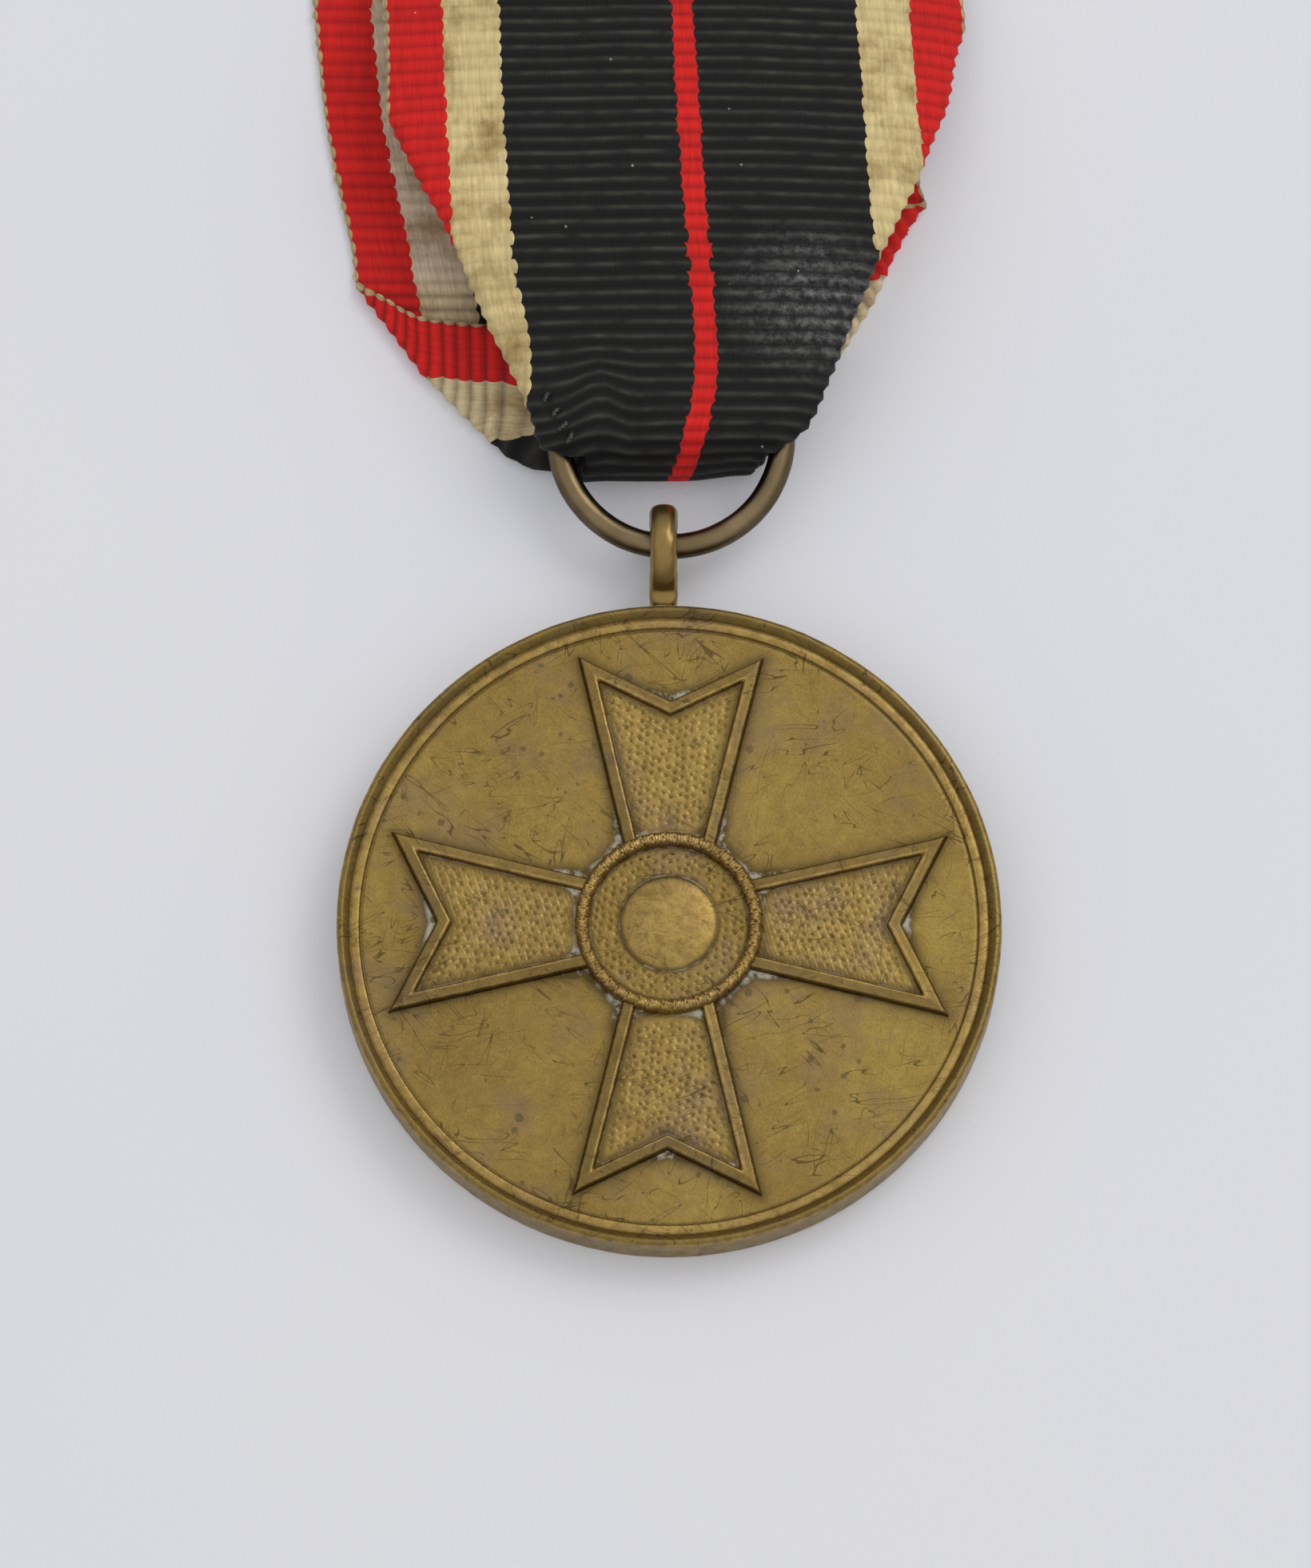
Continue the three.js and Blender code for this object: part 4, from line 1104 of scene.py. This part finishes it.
    # Lint: pale specks 0.1 mm across, 2 mm apart.
    lint = add("TexVoronoi", {"Vector": cloth, "Scale": 0.55, "Randomness": 1.0}, output="Distance")
    speck = add("Math", {0: lint, 1: 0.035}, operation="LESS_THAN")
    body = add("Mix", {0: add("Math", {0: speck, 1: 0.5}, operation="MULTIPLY"), 6: body,
                       7: linear("#b9b7ad")}, **COLOUR_MIX)
    rough = add("MapRange", {0: near, 3: 0.72, 4: 0.5})
    bump = add("Bump", {"Strength": 0.6, "Distance": 0.00006, "Height": threads})
    return coated(material, {
        "Base Color": body, "Roughness": rough, "Normal": bump,
        "Sheen Weight": 0.05, "Sheen Roughness": 0.4, "Specular IOR Level": 0.25,
    })


def cotton_thread(name, colour, gloss):
    """Twisted sewing or weft thread: a yarn with fibres of 0.08 mm and a tone of its own on each length.
    `gloss` is its roughness, high for soft cotton and low for waxed thread."""
    material, add, mm = new_material(name)
    uv = add("UVMap", uv_map="UVMap")
    own = add("SeparateXYZ", {0: uv})
    fibres = add("TexNoise", {"Vector": mm, "Scale": 12.0, "Detail": 3.0})
    tone = add("MapRange", {0: own, 3: 0.8, 4: 1.12})
    fibre_tone = add("MapRange", {0: fibres, 1: 0.3, 2: 0.7, 3: 0.75, 4: 1.15})
    tone = add("Math", {0: tone, 1: fibre_tone}, operation="MULTIPLY")
    grey = add("CombineColor", {0: tone, 1: tone, 2: tone})
    body = add("Mix", {0: 1.0, 6: colour, 7: grey}, **COLOUR_TIMES)
    bump = add("Bump", {"Strength": 0.6, "Distance": 0.00004, "Height": fibres})
    return coated(material, {"Base Color": body, "Roughness": gloss, "Normal": bump})


def matt_paper(colours):
    """Smooth matt paper under the medal: nearly white and faintly blue, with a soft grain of 0.5 mm and a
    faint painted glow.
    """
    material, add, mm = new_material("matt_paper")
    grain = add("TexNoise", {"Vector": mm, "Scale": 2.0, "Detail": 4.0, "Roughness": 0.6})
    warm = add("TexNoise", {"Vector": mm, "Scale": 0.02})
    body = add("Mix", {0: warm, 6: colours.floor, 7: linear("#d6d6d6")}, **COLOUR_MIX)
    bump = add("Bump", {"Strength": 0.12, "Distance": 0.00005, "Height": grain})
    # Painted light: the paper glows faintly, standing in for the light that the bright desk round the medal
    # sends back up, which a bare plane this size does not.
    return coated(material, {
        "Base Color": body, "Roughness": 0.85, "Normal": bump,
        "Emission Color": body, "Emission Strength": 0.16,
    })


# ---- settings a user would change -----------------------------------------------------------------------
def length_setting(name, description, millimetres):
    return bpy.props.FloatProperty(name=name, description=description, default=millimetres * MM, min=0.0,
                                   unit="LENGTH", precision=5)


def colour_setting(name, description, code):
    return bpy.props.FloatVectorProperty(name=name, description=description, default=linear(code), min=0.0,
                                         max=1.0, size=3, subtype="COLOR")


class MedalSizes(bpy.types.PropertyGroup):
    disc_radius: length_setting("Disc radius", "Radius of the struck disc over its rim", 16.0)
    loop_width: length_setting("Loop width", "Width of the loop along the disc's edge", 1.34)
    ring_radius: length_setting("Ring radius", "Radius of the ring to the middle of its wire", 5.48)
    wire_radius: length_setting("Wire radius", "Radius of the ring's wire", 0.62)


class MedalColours(bpy.types.PropertyGroup):
    bronze: colour_setting("Bronze", "Toned bronze of the open field", "#917941")
    # Also the painted highlights on the disc's edge wall and along the borders' inner lips.
    bronze_wear_and_highlight: colour_setting("Rubbed bronze", "Bronze where handling has rubbed it bright", "#c9a765")
    # Also the painted shade on the loop and along the disc's fine grooves.
    bronze_shadow: colour_setting("Bronze hollows", "Dark toning at the foot of raised work", "#4f4128")
    residue: colour_setting("Residue", "Dried polish held in the hollows", "#cdc8b4")
    wire: colour_setting("Wire", "Toned wire of the ring", "#65573f")
    red: colour_setting("Red", "Red stripes at the ribbon's sides", "#d41d18")
    middle_red: colour_setting("Middle red", "Thin red stripe in the ribbon's middle", "#dc1f18")
    cream: colour_setting("Cream", "Yellowed white stripes", "#d9c58c")
    black: colour_setting("Black", "Wide black stripes", "#171714")
    floor: colour_setting("Floor", "Paper that the medal lies on", "#d1d3d9")


# ---- operators ------------------------------------------------------------------------------------------
def place_piece(piece, body, slot, *nodes):
    """The piece rides on its body and stands for the design's nodes; the slot is not used."""
    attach(piece, body)
    if nodes:
        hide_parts(*nodes)
    return piece


class MEDAL_OT_struck_disc(bpy.types.Operator):
    """Makes the struck disc: blank, rims, notched cross, pebbled grounds and wreath"""

    bl_idname = "medal.struck_disc"
    bl_label = "Struck disc"

    def execute(self, context):
        radius = context.scene.medal_sizes.disc_radius / MM
        bronze = struck_bronze(context.scene.medal_colours)
        blank = joined([disc_body(radius), turn_arms(arm_border()), wreath()]).moved(lean_back)
        place_piece(put_in_scene("struck_disc", blank, bronze), "medal", "struck_bronze", "medal_disc")
        grounds = joined([turn_arms(arm_ground()), centre_ground()]).moved(lean_back)
        place_piece(put_in_scene("pebbled_grounds", grounds, bronze), "medal", "struck_bronze")
        return {"FINISHED"}


class MEDAL_OT_edge_loop(bpy.types.Operator):
    """Makes the loop on the disc's edge and the solder that holds it"""

    bl_idname = "medal.edge_loop"
    bl_label = "Loop and solder"

    def execute(self, context):
        width = context.scene.medal_sizes.loop_width / MM
        bronze = bpy.data.materials["struck_bronze"]
        loop = put_in_scene("edge_loop", edge_loop(width).moved(lean_back), bronze)
        place_piece(loop, "medal", "struck_bronze", "suspension_loop")
        fillet = put_in_scene("solder_fillet", solder_fillet().moved(lean_back), grey_solder())
        place_piece(fillet, "medal", "solder", "loop_solder")
        return {"FINISHED"}


class MEDAL_OT_wire_ring(bpy.types.Operator):
    """Makes the wire ring that links the loop to the ribbon"""

    bl_idname = "medal.wire_ring"
    bl_label = "Wire ring"

    def execute(self, context):
        sizes = context.scene.medal_sizes
        surface = wire_ring(sizes.ring_radius / MM, sizes.wire_radius / MM)
        ring = put_in_scene("closed_ring", surface, toned_wire(context.scene.medal_colours))
        place_piece(ring, "ring", "toned_wire", "wire_ring")
        return {"FINISHED"}


class MEDAL_OT_ribbon(bpy.types.Operator):
    """Makes the folded ribbon with the weft loops along both selvedges"""

    bl_idname = "medal.ribbon"
    bl_label = "Ribbon"

    def execute(self, context):
        colours = context.scene.medal_colours
        ribbon = put_in_scene("ribbon", ribbon_cloth(), ribbed_rayon(colours))
        weft = cotton_thread("weft_cotton", linear("#c9b78c"), 0.8)
        loops = put_in_scene("selvedge_loops", selvedge_loops(), weft)
        for piece in (ribbon, loops):
            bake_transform(piece)
        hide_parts("ribbon_front_tail", "ribbon_back_tail", "ribbon_front_bend", "ribbon_back_bend",
                    "ribbon_front_fold", "ribbon_back_fold", "ribbon_fold_nose")
        return {"FINISHED"}


class MEDAL_OT_tacking(bpy.types.Operator):
    """Makes the four tacking stitches that hold the lower left fold"""

    bl_idname = "medal.tacking"
    bl_label = "Tacking stitches"

    def execute(self, context):
        thread = cotton_thread("waxed_thread", linear("#3a3b34"), 0.22)
        for number, surface in enumerate(tacking(), start=1):
            piece = put_in_scene(f"thread_stitch_{number}", surface, thread)
            place_piece(piece, "ribbon_fold", "thread", f"tack_stitch_{number}")
        return {"FINISHED"}


def softbox(name, place, target, size, power, colour):
    """A square area light that looks at the target."""
    light = bpy.data.lights.new(name, "AREA")
    light.shape = "SQUARE"
    light.size = size
    light.energy = power
    light.color = colour
    lamp = bpy.data.objects.new(name, light)
    lamp.location = place
    lamp.rotation_euler = (Vector(target) - Vector(place)).to_track_quat("-Z", "Y").to_euler()
    bpy.context.scene.collection.objects.link(lamp)


class MEDAL_OT_stage(bpy.types.Operator):
    """Makes the paper floor, the soft light and the camera"""

    bl_idname = "medal.stage"
    bl_label = "Stage"

    def execute(self, context):
        scene = context.scene
        reach = 1.6
        mesh = bpy.data.meshes.new("paper_floor")
        corners = [(-reach, -reach), (reach, -reach), (reach, reach), (-reach, reach)]
        mesh.from_pydata([(x, y, TABLE * MM) for x, y in corners], [], [(0, 1, 2, 3)])
        mesh.materials.append(matt_paper(scene.medal_colours))
        floor = bpy.data.objects.new("paper_floor", mesh)
        scene.collection.objects.link(floor)

        target = Vector((-0.654, 6.854, 2.406)) * MM
        elevation = math.radians(71.756)
        distance = 403.2 * MM
        camera = bpy.data.cameras.new("camera")
        camera.sensor_fit = "HORIZONTAL"
        camera.sensor_width = 36.0
        camera.lens = 229.17
        camera.clip_start = 0.01
        view = bpy.data.objects.new("camera", camera)
        view.location = target + distance * Vector((0, -math.cos(elevation), math.sin(elevation)))
        view.rotation_euler = (target - view.location).to_track_quat("-Z", "Y").to_euler()
        scene.collection.objects.link(view)
        scene.camera = view
        scene.view_settings.view_transform = "Standard"

        softbox("window", (0.5, 0.45, 0.75), target, 0.55, 2.2, (1.0, 0.985, 0.965))
        world = bpy.data.worlds.new("soft_room")
        scene.world = world
        world.use_nodes = True
        tree = world.node_tree
        tree.nodes.clear()
        direction = add_node(tree, "TexCoord", output="Generated")
        rise = add_node(tree, "SeparateXYZ", {0: direction}, output=2)
        glow = add_node(tree, "MapRange", {0: rise, 1: 0.0, 2: 0.8, 3: 0.22, 4: 0.92})
        sky = add_node(tree, "Background", {"Color": linear("#fbfbff"), "Strength": glow})
        add_node(tree, "OutputWorld", {"Surface": sky})
        return {"FINISHED"}


class MEDAL_PT_panel(bpy.types.Panel):
    """Lists the medal's settings and its operators"""

    bl_idname = "MEDAL_PT_panel"
    bl_label = "Service Medal"
    bl_space_type = "VIEW_3D"
    bl_region_type = "UI"
    bl_category = "Medal"

    def draw(self, context):
        scene = context.scene
        for group in (scene.medal_sizes, scene.medal_colours):
            for name in group.bl_rna.properties.keys():
                if name not in ("rna_type", "name"):
                    self.layout.prop(group, name)
        for step in STEPS:
            self.layout.operator(step.bl_idname)


STEPS = (
    MEDAL_OT_stage,
    MEDAL_OT_struck_disc,
    MEDAL_OT_edge_loop,
    MEDAL_OT_wire_ring,
    MEDAL_OT_ribbon,
    MEDAL_OT_tacking,
)
CLASSES = (MedalSizes, MedalColours, *STEPS, MEDAL_PT_panel)


def register():
    for cls in CLASSES:
        bpy.utils.register_class(cls)
    bpy.types.Scene.medal_sizes = bpy.props.PointerProperty(type=MedalSizes)
    bpy.types.Scene.medal_colours = bpy.props.PointerProperty(type=MedalColours)


def unregister():
    del bpy.types.Scene.medal_colours
    del bpy.types.Scene.medal_sizes
    for cls in reversed(CLASSES):
        bpy.utils.unregister_class(cls)


def main():
    register()
    for step in STEPS:
        group, name = step.bl_idname.split(".")
        if getattr(getattr(bpy.ops, group), name)() != {"FINISHED"}:
            raise RuntimeError(f"{step.bl_label} was not made")
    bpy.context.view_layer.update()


if __name__ == "__main__":
    main()
